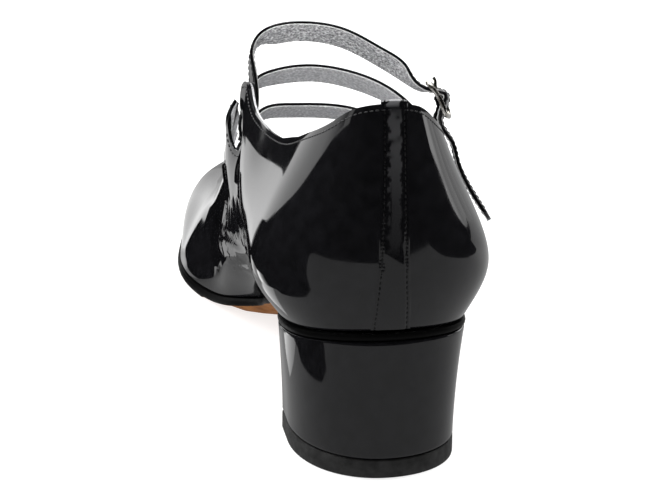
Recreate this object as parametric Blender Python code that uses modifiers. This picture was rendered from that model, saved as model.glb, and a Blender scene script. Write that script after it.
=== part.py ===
"""Right shoe of a pair of instep-strap pumps: round toe, low block heel, three straps and one buckle.

The frame is +Y towards the toe, +X towards the outer side of the foot and +Z up. The origin is the
centre of the heel's ground face. Sizes are in millimetres and become metres where meshes are made.
Distances "along" the shoe are measured from the back of the heel.
"""
import math

import bmesh
import bpy
import numpy as np

MM = 0.001
GAP = 0.3                      # between neighbouring pieces

SHOE_LENGTH = 245.0            # back of the heel to the tip of the toe, upper only
HEEL_CENTRE = 23.5             # back of the heel to the centre of the heel's ground face
WALL = 1.8                     # leather and lining together
HEEL_ROUND = 42.0              # length of the rounded back of the last
TOE_ROUND = 58.0               # length of the rounded front of the last, seen from above
TOE_DROP = 42.0                # length over which the toe box comes down, seen from the side
HEEL_SQUARENESS = 2.5          # 2 is an ellipse, and more is squarer
TOE_SQUARENESS = 2.3
TOE_BOX_SQUARENESS = 2.6
BACK_LEVEL = 68.0              # height of the rearmost point of the heel's back curve
LEAN_ABOVE = 0.0022            # how fast the back curve comes forward above that height
LEAN_BELOW = 0.0085

SOLE_FORE = 3.0                # outsole under the ball and toe
SOLE_WAIST = 2.2               # outsole under the arch and the seat
WAIST_END = 95.0               # where the thin part of the outsole ends, along the shoe
WAIST_TAPER = 45.0             # length over which it thickens
FLAT_BACK = 158.0              # the part of the forefoot that lies on the ground
FLAT_FRONT = 190.0
BELLY = 4.4                    # how much rounder the underside is in the middle, where the arch ends
BELLY_PLACE = 133.0
BELLY_REACH = 22.0
BELLY_ROUNDNESS = 0.5          # 1 is a parabola across the sole, and less is fuller near the edges
BELLY_SHARES = (0.0, 0.08, 0.22, 0.4, 0.6, 0.78, 0.92, 1.0)      # from the inner edge to the outer edge
SOLE_MARGIN = 0.8              # outsole beyond the upper
INSOLE_THICKNESS = 2.0
INSOLE_INSET = 2.6             # insole's edge inside the upper's feather line

HEEL_BREAST = 47.0             # back of the heel to the block's front face, at the top
HEEL_BREAST_GROUND = 45.0
HEEL_BACK_GROUND = 2.0         # how far forward the block's back comes by the ground
HEEL_HALF_GROUND = 24.3        # half the block's width at the ground
TOP_PIECE = 5.7
HEEL_MARGIN = 0.6              # block beyond the upper's feather line, at the top
HEEL_BEND = {-1: 1.2, 1: 1.4}  # how soon the ground outline turns from the back into each side
HEEL_FLARE = 1.5               # more keeps the block narrow for longer below the seat
HEEL_STEPS = 10
HEEL_LEVELS = 6

STRAP_WIDTH = 10.5
STRAP_THICKNESS = 1.3
STRAP_CLEAR = 1.3              # between the middle of a strap's sewn end and the wall outside it
MIDDLE_TAB_CLEAR = 2.8         # the same where a tab stands out from the plain last
FRONT_TAB_CLEAR = 2.2

BUCKLE_CENTRE = np.array([28.6, 59.0, 90.4])
BUCKLE_DOWN = np.array([0.44, -0.42, -0.79])
BUCKLE_OUT = np.array([0.86, -0.05, 0.5])
BUCKLE_LENGTH = 11.2           # down the strap, between the middles of the top and bottom bars
BUCKLE_WIDTH = 14.4            # across the strap, between the middles of the two sides
BUCKLE_WIRE = 1.8
BUCKLE_CORNER = 2.0            # radius of the frame's corners
BUCKLE_CLEAR = 1.1             # between the strap and the bars it passes
PIN_WIRE = 1.4
PIN_CLEAR = 0.7                # between the pin and the bars it crosses
PIN_HOLE = (2.2, 3.4, 8.0)     # across, along and through the strap
PIN_HOLE_PLACE = 2.7           # above the middle bar
STAY_WIDTH = 7.5
STAY_ALONG = 84.0              # where the stay goes down inside the upper's wall
STAY_LEVELS = (68.0, 72.0, 76.0)
STAY_CLEAR = 0.8               # between the stay and the wall outside it
TAIL_FACING = np.array([0.93, -0.05, 0.36])             # the way the free end's outer face looks
TAIL_ROWS = (                  # middle line of the strap's free end: across, along, height
    (31.9, 78.2, 78.6),
    (33.5, 77.0, 73.0),
    (35.6, 76.0, 67.5),
    (38.6, 75.0, 62.0),
    (41.5, 74.0, 57.4),
    (43.5, 73.0, 54.0),
)

# Middle lines of the straps from the inner side to the outer side, as rows of across, along, height
# and tilt. Tilt is how far the strap's front edge lies below its back edge, in degrees. Root and end
# are where a strap is sewn inside the upper: two places along and up the wall, in the strap's order.
# Clear is the room between the root and the wall.
STRAPS = {
    "strap_instep": dict(clear=STRAP_CLEAR, root=((96.5, 78.0), (100.0, 87.0)), rows=(
        (-26.2, 103.2, 95.5, 22), (-25.6, 103.8, 102.0, 35), (-21.4, 102.8, 105.8, 44),
        (-11.0, 100.8, 108.0, 47), (1.0, 97.6, 106.4, 47), (11.8, 93.0, 101.4, 46), (19.0, 89.0, 97.0, 40))),
    "strap_middle": dict(clear=MIDDLE_TAB_CLEAR, root=((114.5, 68.0), (117.6, 76.0)),
                         end=((103.5, 70.0), (103.5, 64.0)), rows=(
        (-24.7, 120.1, 82.4, 24), (-22.8, 120.9, 84.8, 36), (-17.0, 121.8, 86.8, 42), (-5.0, 121.0, 88.0, 43),
        (7.0, 117.0, 86.6, 43), (16.5, 111.5, 83.8, 40), (23.5, 107.0, 79.5, 30))),
    "strap_front": dict(clear=FRONT_TAB_CLEAR, root=((133.0, 51.0), (135.8, 60.5)),
                        end=((129.0, 56.5), (129.0, 51.0)), rows=(
        (-21.9, 136.6, 65.4, 30), (-19.2, 138.0, 68.6, 36), (-10.0, 139.0, 70.0, 39), (3.0, 137.5, 69.8, 39),
        (14.0, 134.5, 68.0, 37), (22.5, 131.5, 63.5, 30))),
}

PATENT = (0.006, 0.006, 0.007)
METAL = (0.62, 0.6, 0.56)

THROAT = 152.0                 # back of the heel to the front of the opening

# The outside of the upper, row by row along the shoe. Heights are above the ground. Half-widths are
# from the shoe's own middle line, which bends inwards at the toe; "m" is the inner side of the foot
# and "l" the outer side.
LAST_COLUMNS = ("along", "feather", "bulge", "shoulder_zm", "ridge", "shoulder_zl", "middle", "ridge_x",
                "feather_m", "bulge_m", "shoulder_m", "feather_l", "bulge_l", "shoulder_l")
LAST_ROWS = (
    (0, 46.0, 63, 92, 148, 92, 0.0, 0, 27.0, 34.0, 24.5, 28.0, 34.5, 24.5),
    (22, 41.8, 57, 89, 138, 89, 0.0, 0, 26.5, 34.5, 24.5, 28.4, 35.6, 24.5),
    (45, 37.4, 52, 86, 128, 86, 0.0, -2, 25.2, 34.3, 25.0, 28.2, 36.0, 25.0),
    (70, 30.5, 50, 85, 124, 84, 0.0, -5, 21.2, 31.7, 27.0, 28.5, 35.5, 26.2),
    (88, 25.8, 47, 89, 119.5, 90, 0.0, -8, 21.2, 30.3, 28.8, 29.5, 35.5, 26.0),
    (102, 20.7, 41, 90, 109.8, 90, 0.2, -9, 21.9, 29.3, 29.4, 31.5, 36.5, 26.0),
    (118, 14.4, 31.2, 78, 93.0, 78, 0.6, -7, 21.5, 32.7, 30.5, 35.0, 38.5, 26.5),
    (135, 8.6, 22.2, 62, 75.5, 62, 1.2, -5, 28.8, 33.9, 29.0, 38.5, 41.0, 27.0),
    (150, 4.7, 16.5, 45, 58.5, 45, 1.8, -5, 34.0, 35.2, 30.6, 41.0, 43.0, 29.5),
    (168, 3.4, 12.5, 36, 46, 33, 2.0, -5, 39.5, 39.8, 29.4, 42.0, 44.0, 31.0),
    (186, 3.4, 11, 29, 38, 26, 1.6, -4, 40.4, 38.6, 28.4, 41.0, 43.0, 30.0),
    (206, 4.2, 12, 24, 32.5, 23.5, -0.5, -3, 36.4, 35.8, 25.8, 39.0, 41.0, 29.0),
    (226, 6.6, 14.5, 24, 30, 24, -3.5, -2, 34.4, 33.8, 23.0, 37.0, 39.0, 28.0),
    (245, 10.5, 18, 26, 31, 26, -6.5, 0, 33.0, 35.0, 26.0, 36.0, 38.0, 28.0),
)
SECTION_KNOTS = (-1.0, -0.78, -0.42, 0.0, 0.42, 0.78, 1.0)   # inner feather, over the ridge, outer feather

# Height of the upper's top edge along the shoe, on each side, back to front.
TOPLINE_M = ((0, 115), (6, 112.5), (14, 107), (28, 99.5), (45, 92), (62, 88), (70, 87.3), (78, 87.6),
             (84, 88.4), (90, 90.4), (96, 92.6), (106, 90), (114, 83.5), (122, 77), (133, 63), (141, 57))
TOPLINE_L = ((0, 115), (6, 112.5), (14, 107), (28, 99.5), (45, 91.5), (65, 82.5), (84, 77.0), (105, 71),
             (125, 60), (141, 53))
TOPLINE_END = 141.0

# The two gaps that part the inner side's edge into three tabs. They lean towards the toe.
GAP_ROWS = ((107.0, 11.5, 68.0), (122.0, 7.5, 55.0))          # along, width, height of the round bottom
GAP_LEAN = math.radians(22)

# The fastened strap draws its tab inwards, the other two tabs stand out a little, and the wall is
# hollow below them: place along, height, reach along, reach up and how far outwards.
TAB_PULLS = (
    (103.0, 73.5, 6.5, 7.0, -3.0),
    (117.0, 76.5, 6.5, 6.0, 1.8),
    (133.0, 59.0, 7.0, 6.5, 1.9),
    (123.0, 47.5, 11.5, 12.0, -3.0),
)


def spline(knots, values):
    """A natural cubic curve through the values, one column for each quantity."""
    knots = np.asarray(knots, float)
    values = np.asarray(values, float)
    count = len(knots)
    step = np.diff(knots)
    system = np.eye(count)
    right = np.zeros(values.shape)
    for i in range(1, count - 1):
        system[i, i - 1:i + 2] = step[i - 1], 2 * (step[i - 1] + step[i]), step[i]
        right[i] = 6 * ((values[i + 1] - values[i]) / step[i] - (values[i] - values[i - 1]) / step[i - 1])
    bend = np.linalg.solve(system, right)

    def at(place):
        i = min(max(int(np.searchsorted(knots, place, side="right")) - 1, 0), count - 2)
        a = (knots[i + 1] - place) / step[i]
        b = 1 - a
        curve = ((a ** 3 - a) * bend[i] + (b ** 3 - b) * bend[i + 1]) * step[i] ** 2 / 6
        return a * values[i] + b * values[i + 1] + curve
    return at


BUCKLE_DOWN = BUCKLE_DOWN / np.linalg.norm(BUCKLE_DOWN)
BUCKLE_OUT = BUCKLE_OUT - BUCKLE_DOWN * float(BUCKLE_OUT @ BUCKLE_DOWN)
BUCKLE_OUT = BUCKLE_OUT / np.linalg.norm(BUCKLE_OUT)
BUCKLE_ACROSS = np.cross(BUCKLE_OUT, BUCKLE_DOWN)

last_row = spline([row[0] for row in LAST_ROWS], [row[1:] for row in LAST_ROWS])
topline = {-1: spline(*zip(*TOPLINE_M)), 1: spline(*zip(*TOPLINE_L))}


def fade(part, power):
    """1 at part 0 and 0 at part 1, round at the end."""
    return math.sqrt(max(0.0, 1.0 - max(0.0, min(1.0, part)) ** power))


def section(along):
    """The section of the last at a place along it: a function of v, and the height of its feather line."""
    (feather, bulge, shoulder_zm, ridge, shoulder_zl, middle, ridge_x,
     feather_m, bulge_m, shoulder_m, feather_l, bulge_l, shoulder_l) = last_row(along)
    width = fade((HEEL_ROUND - along) / HEEL_ROUND, HEEL_SQUARENESS)
    width *= fade((along - SHOE_LENGTH + TOE_ROUND) / TOE_ROUND, TOE_SQUARENESS)
    height = fade((along - SHOE_LENGTH + TOE_DROP) / TOE_DROP, TOE_BOX_SQUARENESS)
    across = np.array([-feather_m, -bulge_m, -shoulder_m, ridge_x, shoulder_l, bulge_l, feather_l])
    levels = np.array([feather, bulge, shoulder_zm, ridge, shoulder_zl, bulge, feather])
    points = np.column_stack((middle + across * width, feather + (levels - feather) * height))
    return spline(SECTION_KNOTS, points), feather


def tab_pull(along, level):
    """How far the inner side stands out from the plain last at its tabs."""
    return sum(out * math.exp(-((along - place) / reach) ** 2 - ((level - height) / rise) ** 2)
               for place, height, reach, rise, out in TAB_PULLS)


def last_point(along, v):
    """A point of the last's surface, millimetres in the shoe's frame."""
    curve, _ = section(along)
    x, z = curve(v)
    if v < 0:
        x -= tab_pull(along, z)
    lean = 0.0
    if along < HEEL_ROUND:                      # the back curve of the heel, seen from the side
        rise = z - BACK_LEVEL
        lean = (LEAN_ABOVE if rise > 0 else LEAN_BELOW) * rise * rise
        lean *= (1 - along / HEEL_ROUND) ** 3
    return np.array([x, along + lean - HEEL_CENTRE, z])


def last_normal(along, v):
    step_along = last_point(along + 0.5, v) - last_point(along - 0.5, v)
    step_round = last_point(along, v + 0.01) - last_point(along, v - 0.01)
    normal = np.cross(step_along, step_round)
    normal = normal / np.linalg.norm(normal)
    outward = last_point(along, v) - np.array([0.0, along - HEEL_CENTRE, 30.0])
    return normal if float(normal @ outward) > 0 else -normal


def height_v(along, side, level):
    """Where one side of the section comes down to a height: 0 is the ridge and 1 the feather line."""
    curve, _ = section(along)
    low, high = 0.0, 1.0
    for _ in range(40):
        middle = (low + high) / 2
        if curve(side * middle)[1] > level:
            low = middle
        else:
            high = middle
    return low


def edge_v(along, side):
    """Where the upper's top edge cuts the section on one side, counted as in height_v."""
    if along >= THROAT:
        return 0.0
    place = min(along, TOPLINE_END)
    edge = height_v(place, side, float(topline[side](place)))
    if along > TOPLINE_END:                     # round the front of the throat
        edge *= math.sqrt(1 - ((along - TOPLINE_END) / (THROAT - TOPLINE_END)) ** 2)
    return edge


def make_object(name, mesh, colour, roughness, metallic=0.0, coat=0.0):
    piece = bpy.data.objects.new(name, mesh)
    shoe.objects.link(piece)
    material = bpy.data.materials.new(name)
    material.use_nodes = True
    shader = material.node_tree.nodes["Principled BSDF"]
    shader.inputs["Base Color"].default_value = (*colour, 1.0)
    shader.inputs["Roughness"].default_value = roughness
    shader.inputs["Metallic"].default_value = metallic
    shader.inputs["Coat Weight"].default_value = coat
    mesh.materials.append(material)
    return piece


def mesh_from(name, points, faces, smooth_angle=None):
    mesh = bpy.data.meshes.new(name)
    mesh.from_pydata([[c * MM for c in p] for p in points], [], faces)
    work = bmesh.new()
    work.from_mesh(mesh)
    bmesh.ops.remove_doubles(work, verts=work.verts, dist=0.00002)
    bmesh.ops.dissolve_degenerate(work, edges=work.edges, dist=0.00001)
    bmesh.ops.recalc_face_normals(work, faces=work.faces)
    work.to_mesh(mesh)
    work.free()
    if smooth_angle:
        mesh.shade_smooth()
        mesh.set_sharp_from_angle(angle=math.radians(smooth_angle))
    return mesh


def stations():
    """Places along the shoe, closer together round the heel, at the throat and at the toe."""
    back = [HEEL_ROUND * (1 - math.cos(math.pi / 2 * i / 7)) for i in range(8)]
    body = list(np.linspace(HEEL_ROUND, TOPLINE_END, 13))[1:]
    throat = [THROAT - (THROAT - TOPLINE_END) * (i / 4) ** 2 for i in (3, 2, 1, 0)]
    fore = list(np.linspace(THROAT, SHOE_LENGTH - TOE_ROUND + 8, 6))[1:]
    front = SHOE_LENGTH - fore[-1]
    toe = [SHOE_LENGTH - front * (1 - math.sin(math.pi / 2 * i / 9)) for i in range(1, 10)]
    return back + body + throat + fore + toe


def make_upper(cells=12):
    points, faces = [], []
    for side in (-1, 1):
        first = len(points)
        rows = stations()
        for along in rows:
            edge = edge_v(along, side)
            for j in range(cells + 1):
                v = side * (1 + (edge - 1) * j / cells)
                points.append(last_point(along, v))
        for i in range(len(rows) - 1):
            for j in range(cells):
                a = first + i * (cells + 1) + j
                quad = (a, a + 1, a + cells + 2, a + cells + 1)
                faces.append(quad if side < 0 else quad[::-1])
    mesh = mesh_from("upper", points, faces, 40)
    upper = make_object("upper", mesh, PATENT, 0.06, coat=1.0)
    wall = upper.modifiers.new("Wall", "SOLIDIFY")
    wall.thickness = WALL * MM
    wall.offset = -1
    for number, (along, width, bottom) in enumerate(GAP_ROWS, 1):
        cut = upper.modifiers.new(f"Gap {number}", "BOOLEAN")
        cut.operation = "DIFFERENCE"
        cut.object = gap_cutter(f"tab_gap_{number}", along, width, bottom)
    return upper


def gap_cutter(name, along, width, bottom, length=40.0, steps=8):
    """A slot with a round bottom, open at the top, cut through the inner side of the upper."""
    radius = width / 2
    upright = [(-radius, length)]
    for i in range(steps + 1):
        angle = math.pi + math.pi * i / steps
        upright.append((radius * math.cos(angle), radius * math.sin(angle)))
    upright.append((radius, length))
    outline = []
    for y, z in upright:
        leaning_y = y * math.cos(GAP_LEAN) + z * math.sin(GAP_LEAN)
        leaning_z = z * math.cos(GAP_LEAN) - y * math.sin(GAP_LEAN)
        outline.append((along - HEEL_CENTRE + leaning_y, bottom + radius + leaning_z))
    count = len(outline)
    points = [(x, y, z) for x in (-60.0, -12.0) for y, z in outline]
    faces = [tuple(range(count)), tuple(range(2 * count - 1, count - 1, -1))]
    faces += [(i, (i + 1) % count, count + (i + 1) % count, count + i) for i in range(count)]
    cutter = bpy.data.objects.new(name, mesh_from(name, points, faces))
    hide_cutter(cutter)
    return cutter


def sole_depth(along):
    """Thickness of the outsole: thin under the seat and arch, full under the ball."""
    part = max(0.0, min(1.0, (along - WAIST_END) / WAIST_TAPER))
    part = part * part * (3 - 2 * part)
    return SOLE_WAIST + (SOLE_FORE - SOLE_WAIST) * part


def feather_outline(margin):
    """Plan outline at the feather line, moved outwards: along, inner and outer point of each station."""
    rows = stations()
    loop = [last_point(s, -1) for s in rows] + [last_point(s, 1) for s in reversed(rows[1:-1])]
    count = len(loop)
    moved = []
    for i, point in enumerate(loop):
        direction = loop[(i + 1) % count] - loop[i - 1]
        outward = np.array([-direction[1], direction[0], 0.0])
        moved.append(point + margin * outward / np.linalg.norm(outward))
    lower, upper_side = moved[:len(rows)], moved[len(rows):][::-1]
    upper_side = [moved[0]] + upper_side + [moved[len(rows) - 1]]
    return [(rows[i], lower[i], upper_side[i]) for i in range(len(rows))]


def slab(name, outline, bottom, top, shares=(0.0, 1.0)):
    """A closed plate over a plan outline. Bottom and top give its heights at a place along and a share
    of the way across.
    """
    points, faces = [], []
    for _, inner, outer in outline:
        for share in shares:
            x, y = (inner + (outer - inner) * share)[:2]
            place = y + HEEL_CENTRE
            points += [(x, y, bottom(place, share)), (x, y, top(place))]
    row = 2 * len(shares)
    for i in range(len(outline) - 1):
        first = row * i
        for a in range(first, first + row - 2, 2):
            b = a + row
            faces += [(a, a + 2, b + 2, b), (a + 1, b + 1, b + 3, a + 3)]
        for a in (first, first + row - 2):
            faces.append((a, a + row, a + row + 1, a + 1))
    for first, (_, inner, outer) in ((0, outline[0]), (row * (len(outline) - 1), outline[-1])):
        if outer[0] - inner[0] > 0.1:
            faces += [(a, a + 1, a + 3, a + 2) for a in range(first, first + row - 2, 2)]
    return mesh_from(name, points, faces, 35)


def feather_height(along):
    return float(last_row(min(max(along, 0.0), SHOE_LENGTH))[0])


def sole_top(along):
    return feather_height(along) - GAP


def sole_bottom(along, share=0.0):
    height = sole_top(along) - sole_depth(along)
    belly = BELLY * math.exp(-((along - BELLY_PLACE) / BELLY_REACH) ** 2)
    belly *= (4 * share * (1 - share)) ** BELLY_ROUNDNESS
    return 0.0 if FLAT_BACK <= along <= FLAT_FRONT else max(height - belly, 0.0)


def insole_bottom(along, _):
    return feather_height(along)


def insole_top(along):
    return feather_height(along) + INSOLE_THICKNESS


def make_outsole():
    mesh = slab("outsole", feather_outline(SOLE_MARGIN), sole_bottom, sole_top, BELLY_SHARES)
    return make_object("outsole", mesh, (0.14, 0.045, 0.012), 0.45)


def make_insole():
    outline = feather_outline(-INSOLE_INSET)[1:-1]
    mesh = slab("insole", outline, insole_bottom, insole_top)
    return make_object("insole", mesh, (0.45, 0.45, 0.46), 0.35, metallic=0.6)


def heel_ring(part):
    """Plan outline of the block at a part of its height, 0 at the ground and 1 under the seat.

    It runs from the inner breast corner round the back to the outer one. Under the seat it follows the
    upper's feather line; at the ground it is a D whose inner back corner is rounder than the outer one.
    """
    flare = part ** HEEL_FLARE
    ring = []
    for step in range(-HEEL_STEPS, HEEL_STEPS + 1):
        side = -1 if step < 0 else 1
        turn = math.pi / 2 * abs(step) / HEEL_STEPS
        seat = last_point(HEEL_BREAST * (1 - math.cos(turn)), side)
        outward = np.array([math.sin(turn) * side, -math.cos(turn)])
        top = np.array([seat[0], seat[1] + HEEL_CENTRE]) + HEEL_MARGIN * outward
        bend = HEEL_BEND[side]
        across = side * HEEL_HALF_GROUND * math.sin(min(math.pi / 2, bend * turn))
        reach = (HEEL_BREAST_GROUND - HEEL_BACK_GROUND) * (1 - math.cos(turn))
        ground = np.array([across, HEEL_BACK_GROUND + reach])
        ring.append(ground + (top - ground) * flare)
    return ring


def stack(name, rings, smooth_angle=50):
    """A closed solid lofted through rings of points with the same count."""
    count = len(rings[0])
    points = [point for ring in rings for point in ring]
    faces = [tuple(range(count)), tuple(range(len(points) - 1, len(points) - count - 1, -1))]
    for level in range(len(rings) - 1):
        for i in range(count):
            a, b = level * count + i, level * count + (i + 1) % count
            faces.append((a, b, b + count, a + count))
    return mesh_from(name, points, faces, smooth_angle)


def make_heel():
    bottom = TOP_PIECE + GAP
    rings = []
    for level in range(HEEL_LEVELS + 1):
        part = level / HEEL_LEVELS
        ring = []
        for (x, along), (_, seat) in zip(heel_ring(part), heel_ring(1.0)):
            top = sole_bottom(seat) - GAP
            ring.append((x, along - HEEL_CENTRE, bottom + (top - bottom) * part))
        rings.append(ring)
    make_object("heel_block", stack("heel_block", rings), PATENT, 0.08, coat=1.0)
    foot = [(x, along - HEEL_CENTRE) for x, along in heel_ring(0.0)]
    rings = [[(x, y, z) for x, y in foot] for z in (0.0, TOP_PIECE)]
    make_object("heel_top_piece", stack("heel_top_piece", rings), (0.012, 0.012, 0.012), 0.55)


def unit(vector):
    return vector / np.linalg.norm(vector)


def band(name, centres, normals, width, thickness, smooth_angle=40):
    """A flat strap along a path: its broad faces look along the normals."""
    rings = []
    for i, centre in enumerate(centres):
        travel = unit(centres[min(i + 1, len(centres) - 1)] - centres[max(i - 1, 0)])
        across = unit(np.cross(normals[i], travel))
        out = np.cross(travel, across)
        ring = [centre + across * a * width / 2 + out * b * thickness / 2
                for a, b in ((-1, -1), (1, -1), (1, 1), (-1, 1))]
        rings.append(ring)
    return stack(name, rings, smooth_angle)


def path_curve(points, count):
    """Evenly spaced points along a smooth curve through a few given ones."""
    points = np.array(points, float)
    lengths = np.concatenate(([0.0], np.cumsum(np.linalg.norm(np.diff(points, axis=0), axis=1))))
    curve = spline(lengths, points)
    return [curve(lengths[-1] * i / (count - 1)) for i in range(count)]


def on_last(along, v, offset):
    normal = last_normal(along, v)
    return last_point(along, v) + normal * offset, normal


def root_points(places, side, clear):
    """Guide points inside the upper's wall, and the wall's directions there."""
    inside = -(WALL + clear + STRAP_THICKNESS / 2)
    return [on_last(along, side * height_v(along, side, level), inside) for along, level in places]


def strap_guide(root, rows, clear, end=None):
    """Guide points of a strap's middle line, and the way its outer face looks at each."""
    middle = [np.array([x, along - HEEL_CENTRE, z]) for x, along, z, _ in rows]
    first = root_points(root, -1, clear)
    last = root_points(end, 1, STRAP_CLEAR) if end else []
    line = [point for point, _ in first] + middle + [point for point, _ in last]
    facing = [normal for _, normal in first]
    for i, (_, _, _, tilt) in enumerate(rows):
        travel = line[min(i + 3, len(line) - 1)] - line[i + 1]
        across = np.array([0.0, math.cos(math.radians(tilt)), -math.sin(math.radians(tilt))])
        facing.append(unit(np.cross(travel, across)))
    return line, facing + [normal for _, normal in last]


def smooth_run(guide, facing, steps):
    """Points and facings along a smooth curve through the guide, with steps between each pair."""
    guide, facing = np.array(guide), np.array(facing)
    lengths = np.concatenate(([0.0], np.cumsum(np.linalg.norm(np.diff(guide, axis=0), axis=1))))
    line, looks = spline(lengths, guide), spline(lengths, facing)
    places = [lengths[i] + (lengths[i + 1] - lengths[i]) * k / steps[i] for i in range(len(steps))
              for k in range(steps[i])]
    places.append(lengths[-1])
    return [line(place) for place in places], [unit(looks(place)) for place in places]


def make_closed_strap(name):
    """A strap whose two ends lie inside the upper."""
    guide, facing = strap_guide(**STRAPS[name])
    centres, normals = smooth_run(guide, facing, [3] * (len(guide) - 1))
    mesh = band(name, centres, normals, STRAP_WIDTH, STRAP_THICKNESS)
    return make_object(name, mesh, PATENT, 0.07, coat=1.0)


def at_buckle(down=0.0, out=0.0, across=0.0):
    """A point in the buckle's own directions: down the strap, out from the foot, across the strap."""
    return BUCKLE_CENTRE + BUCKLE_DOWN * down + BUCKLE_OUT * out + BUCKLE_ACROSS * across


def make_instep_strap():
    """The strap that fastens: from its inner root over the instep, through the buckle, to a free end."""
    guide, facing = strap_guide(**STRAPS["strap_instep"])
    clear = BUCKLE_WIRE / 2 + BUCKLE_CLEAR + STRAP_THICKNESS / 2
    half = BUCKLE_LENGTH / 2
    guide += [at_buckle(-half, -clear), at_buckle(0.0, clear), at_buckle(half, -clear)]
    facing += [BUCKLE_OUT] * 3
    steps = [3] * (len(guide) - 4) + [4, 6, 6]
    for x, along, z in TAIL_ROWS:
        guide.append(np.array([x, along - HEEL_CENTRE, z]))
        facing.append(unit(TAIL_FACING))
        steps.append(3)
    centres, normals = smooth_run(guide, facing, steps)
    mesh = band("strap_instep", centres, normals, STRAP_WIDTH, STRAP_THICKNESS)
    strap = make_object("strap_instep", mesh, PATENT, 0.07, coat=1.0)
    hole = strap.modifiers.new("Pin hole", "BOOLEAN")
    hole.operation = "DIFFERENCE"
    hole.object = box_cutter("pin_hole", at_buckle(-PIN_HOLE_PLACE), PIN_HOLE)
    return strap


def box_cutter(name, centre, size):
    """A box whose sides lie across, along and through the strap at the buckle."""
    ways = (BUCKLE_ACROSS, BUCKLE_DOWN, BUCKLE_OUT)
    across, down, out = (way * length / 2 for way, length in zip(ways, size))
    points = [centre + a * across + d * down + o * out for a in (-1, 1) for d in (-1, 1) for o in (-1, 1)]
    faces = [(0, 1, 3, 2), (4, 6, 7, 5), (0, 4, 5, 1), (2, 3, 7, 6), (0, 2, 6, 4), (1, 5, 7, 3)]
    cutter = bpy.data.objects.new(name, mesh_from(name, points, faces))
    hide_cutter(cutter)
    return cutter


def hide_cutter(piece):
    for owner in piece.users_collection:
        owner.objects.unlink(piece)
    cutters.objects.link(piece)
    piece.hide_render = True
    piece.display_type = "WIRE"


def as_mesh(piece):
    """The same piece as a mesh object whose caps are joined to its sides."""
    name, matrix, owner = piece.name, piece.matrix_world.copy(), piece.users_collection[0]
    mesh = bpy.data.meshes.new_from_object(piece.evaluated_get(bpy.context.evaluated_depsgraph_get()))
    bpy.data.objects.remove(piece)
    work = bmesh.new()
    work.from_mesh(mesh)
    bmesh.ops.remove_doubles(work, verts=work.verts, dist=0.00001)
    bmesh.ops.recalc_face_normals(work, faces=work.faces)
    work.to_mesh(mesh)
    work.free()
    mesh.name = name
    solid = bpy.data.objects.new(name, mesh)
    solid.matrix_world = matrix
    owner.objects.link(solid)
    return solid


def wire(name, points, diameter, cyclic):
    """A round metal wire through the points."""
    curve = bpy.data.curves.new(name, "CURVE")
    curve.dimensions = "3D"
    curve.bevel_depth = diameter / 2 * MM
    curve.bevel_resolution = 2
    curve.use_fill_caps = not cyclic
    line = curve.splines.new("POLY")
    line.points.add(len(points) - 1)
    for place, point in zip(line.points, points):
        place.co = (*(point * MM), 1.0)
    line.use_cyclic_u = cyclic
    piece = bpy.data.objects.new(name, curve)
    shoe.objects.link(piece)
    material = bpy.data.materials.new(name)
    material.use_nodes = True
    shader = material.node_tree.nodes["Principled BSDF"]
    shader.inputs["Base Color"].default_value = (*METAL, 1.0)
    shader.inputs["Metallic"].default_value = 1.0
    shader.inputs["Roughness"].default_value = 0.25
    curve.materials.append(material)
    return piece


def make_buckle():
    """Frame with a middle bar, and the pin that lies through the strap onto the top bar."""
    half_down, half_across = BUCKLE_LENGTH / 2, BUCKLE_WIDTH / 2
    points = []
    for turn in range(4):
        middle_down = (half_down - BUCKLE_CORNER) * (1 if turn in (0, 3) else -1)
        middle_across = (half_across - BUCKLE_CORNER) * (1 if turn in (0, 1) else -1)
        for step in range(5):
            angle = math.pi / 2 * (turn + step / 4)
            down = middle_down + BUCKLE_CORNER * math.cos(angle)
            points.append(at_buckle(down, 0.0, middle_across + BUCKLE_CORNER * math.sin(angle)))
    frame = as_mesh(wire("buckle_frame", points, BUCKLE_WIRE, True))
    bar = as_mesh(wire("middle_bar", [at_buckle(across=-half_across), at_buckle(across=half_across)],
                       BUCKLE_WIRE * 0.9, False))
    hide_cutter(bar)
    join = frame.modifiers.new("Middle bar", "BOOLEAN")
    join.operation = "UNION"
    join.object = bar
    rest = BUCKLE_WIRE / 2 + PIN_CLEAR + PIN_WIRE / 2
    pin = [at_buckle(-rest, -0.35), at_buckle(-half_down * 0.5, 0.35), at_buckle(-half_down * 0.8, 1.45),
           at_buckle(-half_down - 0.9, rest)]
    as_mesh(wire("buckle_pin", path_curve(pin, 8), PIN_WIRE, False))


def make_stay():
    """The tab that holds the buckle: sewn inside the upper's wall, its top end under the middle bar."""
    under = BUCKLE_WIRE / 2 + GAP + STRAP_THICKNESS / 2
    inside = root_points([(STAY_ALONG, level) for level in STAY_LEVELS], 1, STAY_CLEAR)
    guide = [centre for centre, _ in inside]
    guide += [at_buckle(5.4, -6.2), at_buckle(2.6, -under - 1.2), at_buckle(0.2, -under)]
    facing = [normal for _, normal in inside] + [BUCKLE_OUT] * 3
    centres, normals = smooth_run(guide, facing, [2] * (len(guide) - 1))
    mesh = band("buckle_stay", centres, normals, STAY_WIDTH, STRAP_THICKNESS)
    make_object("buckle_stay", mesh, PATENT, 0.07, coat=1.0)


def start():
    for item in list(bpy.data.objects):
        bpy.data.objects.remove(item, do_unlink=True)
    scene = bpy.context.scene
    scene.unit_settings.system = "METRIC"
    parts = bpy.data.collections.new("instep_strap_pump")
    tools = bpy.data.collections.new("cutters")
    scene.collection.children.link(parts)
    scene.collection.children.link(tools)
    return parts, tools


shoe, cutters = start()
make_upper()
make_outsole()
make_insole()
make_heel()
for strap_name in ("strap_middle", "strap_front"):
    make_closed_strap(strap_name)
make_instep_strap()
make_buckle()
make_stay()
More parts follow.
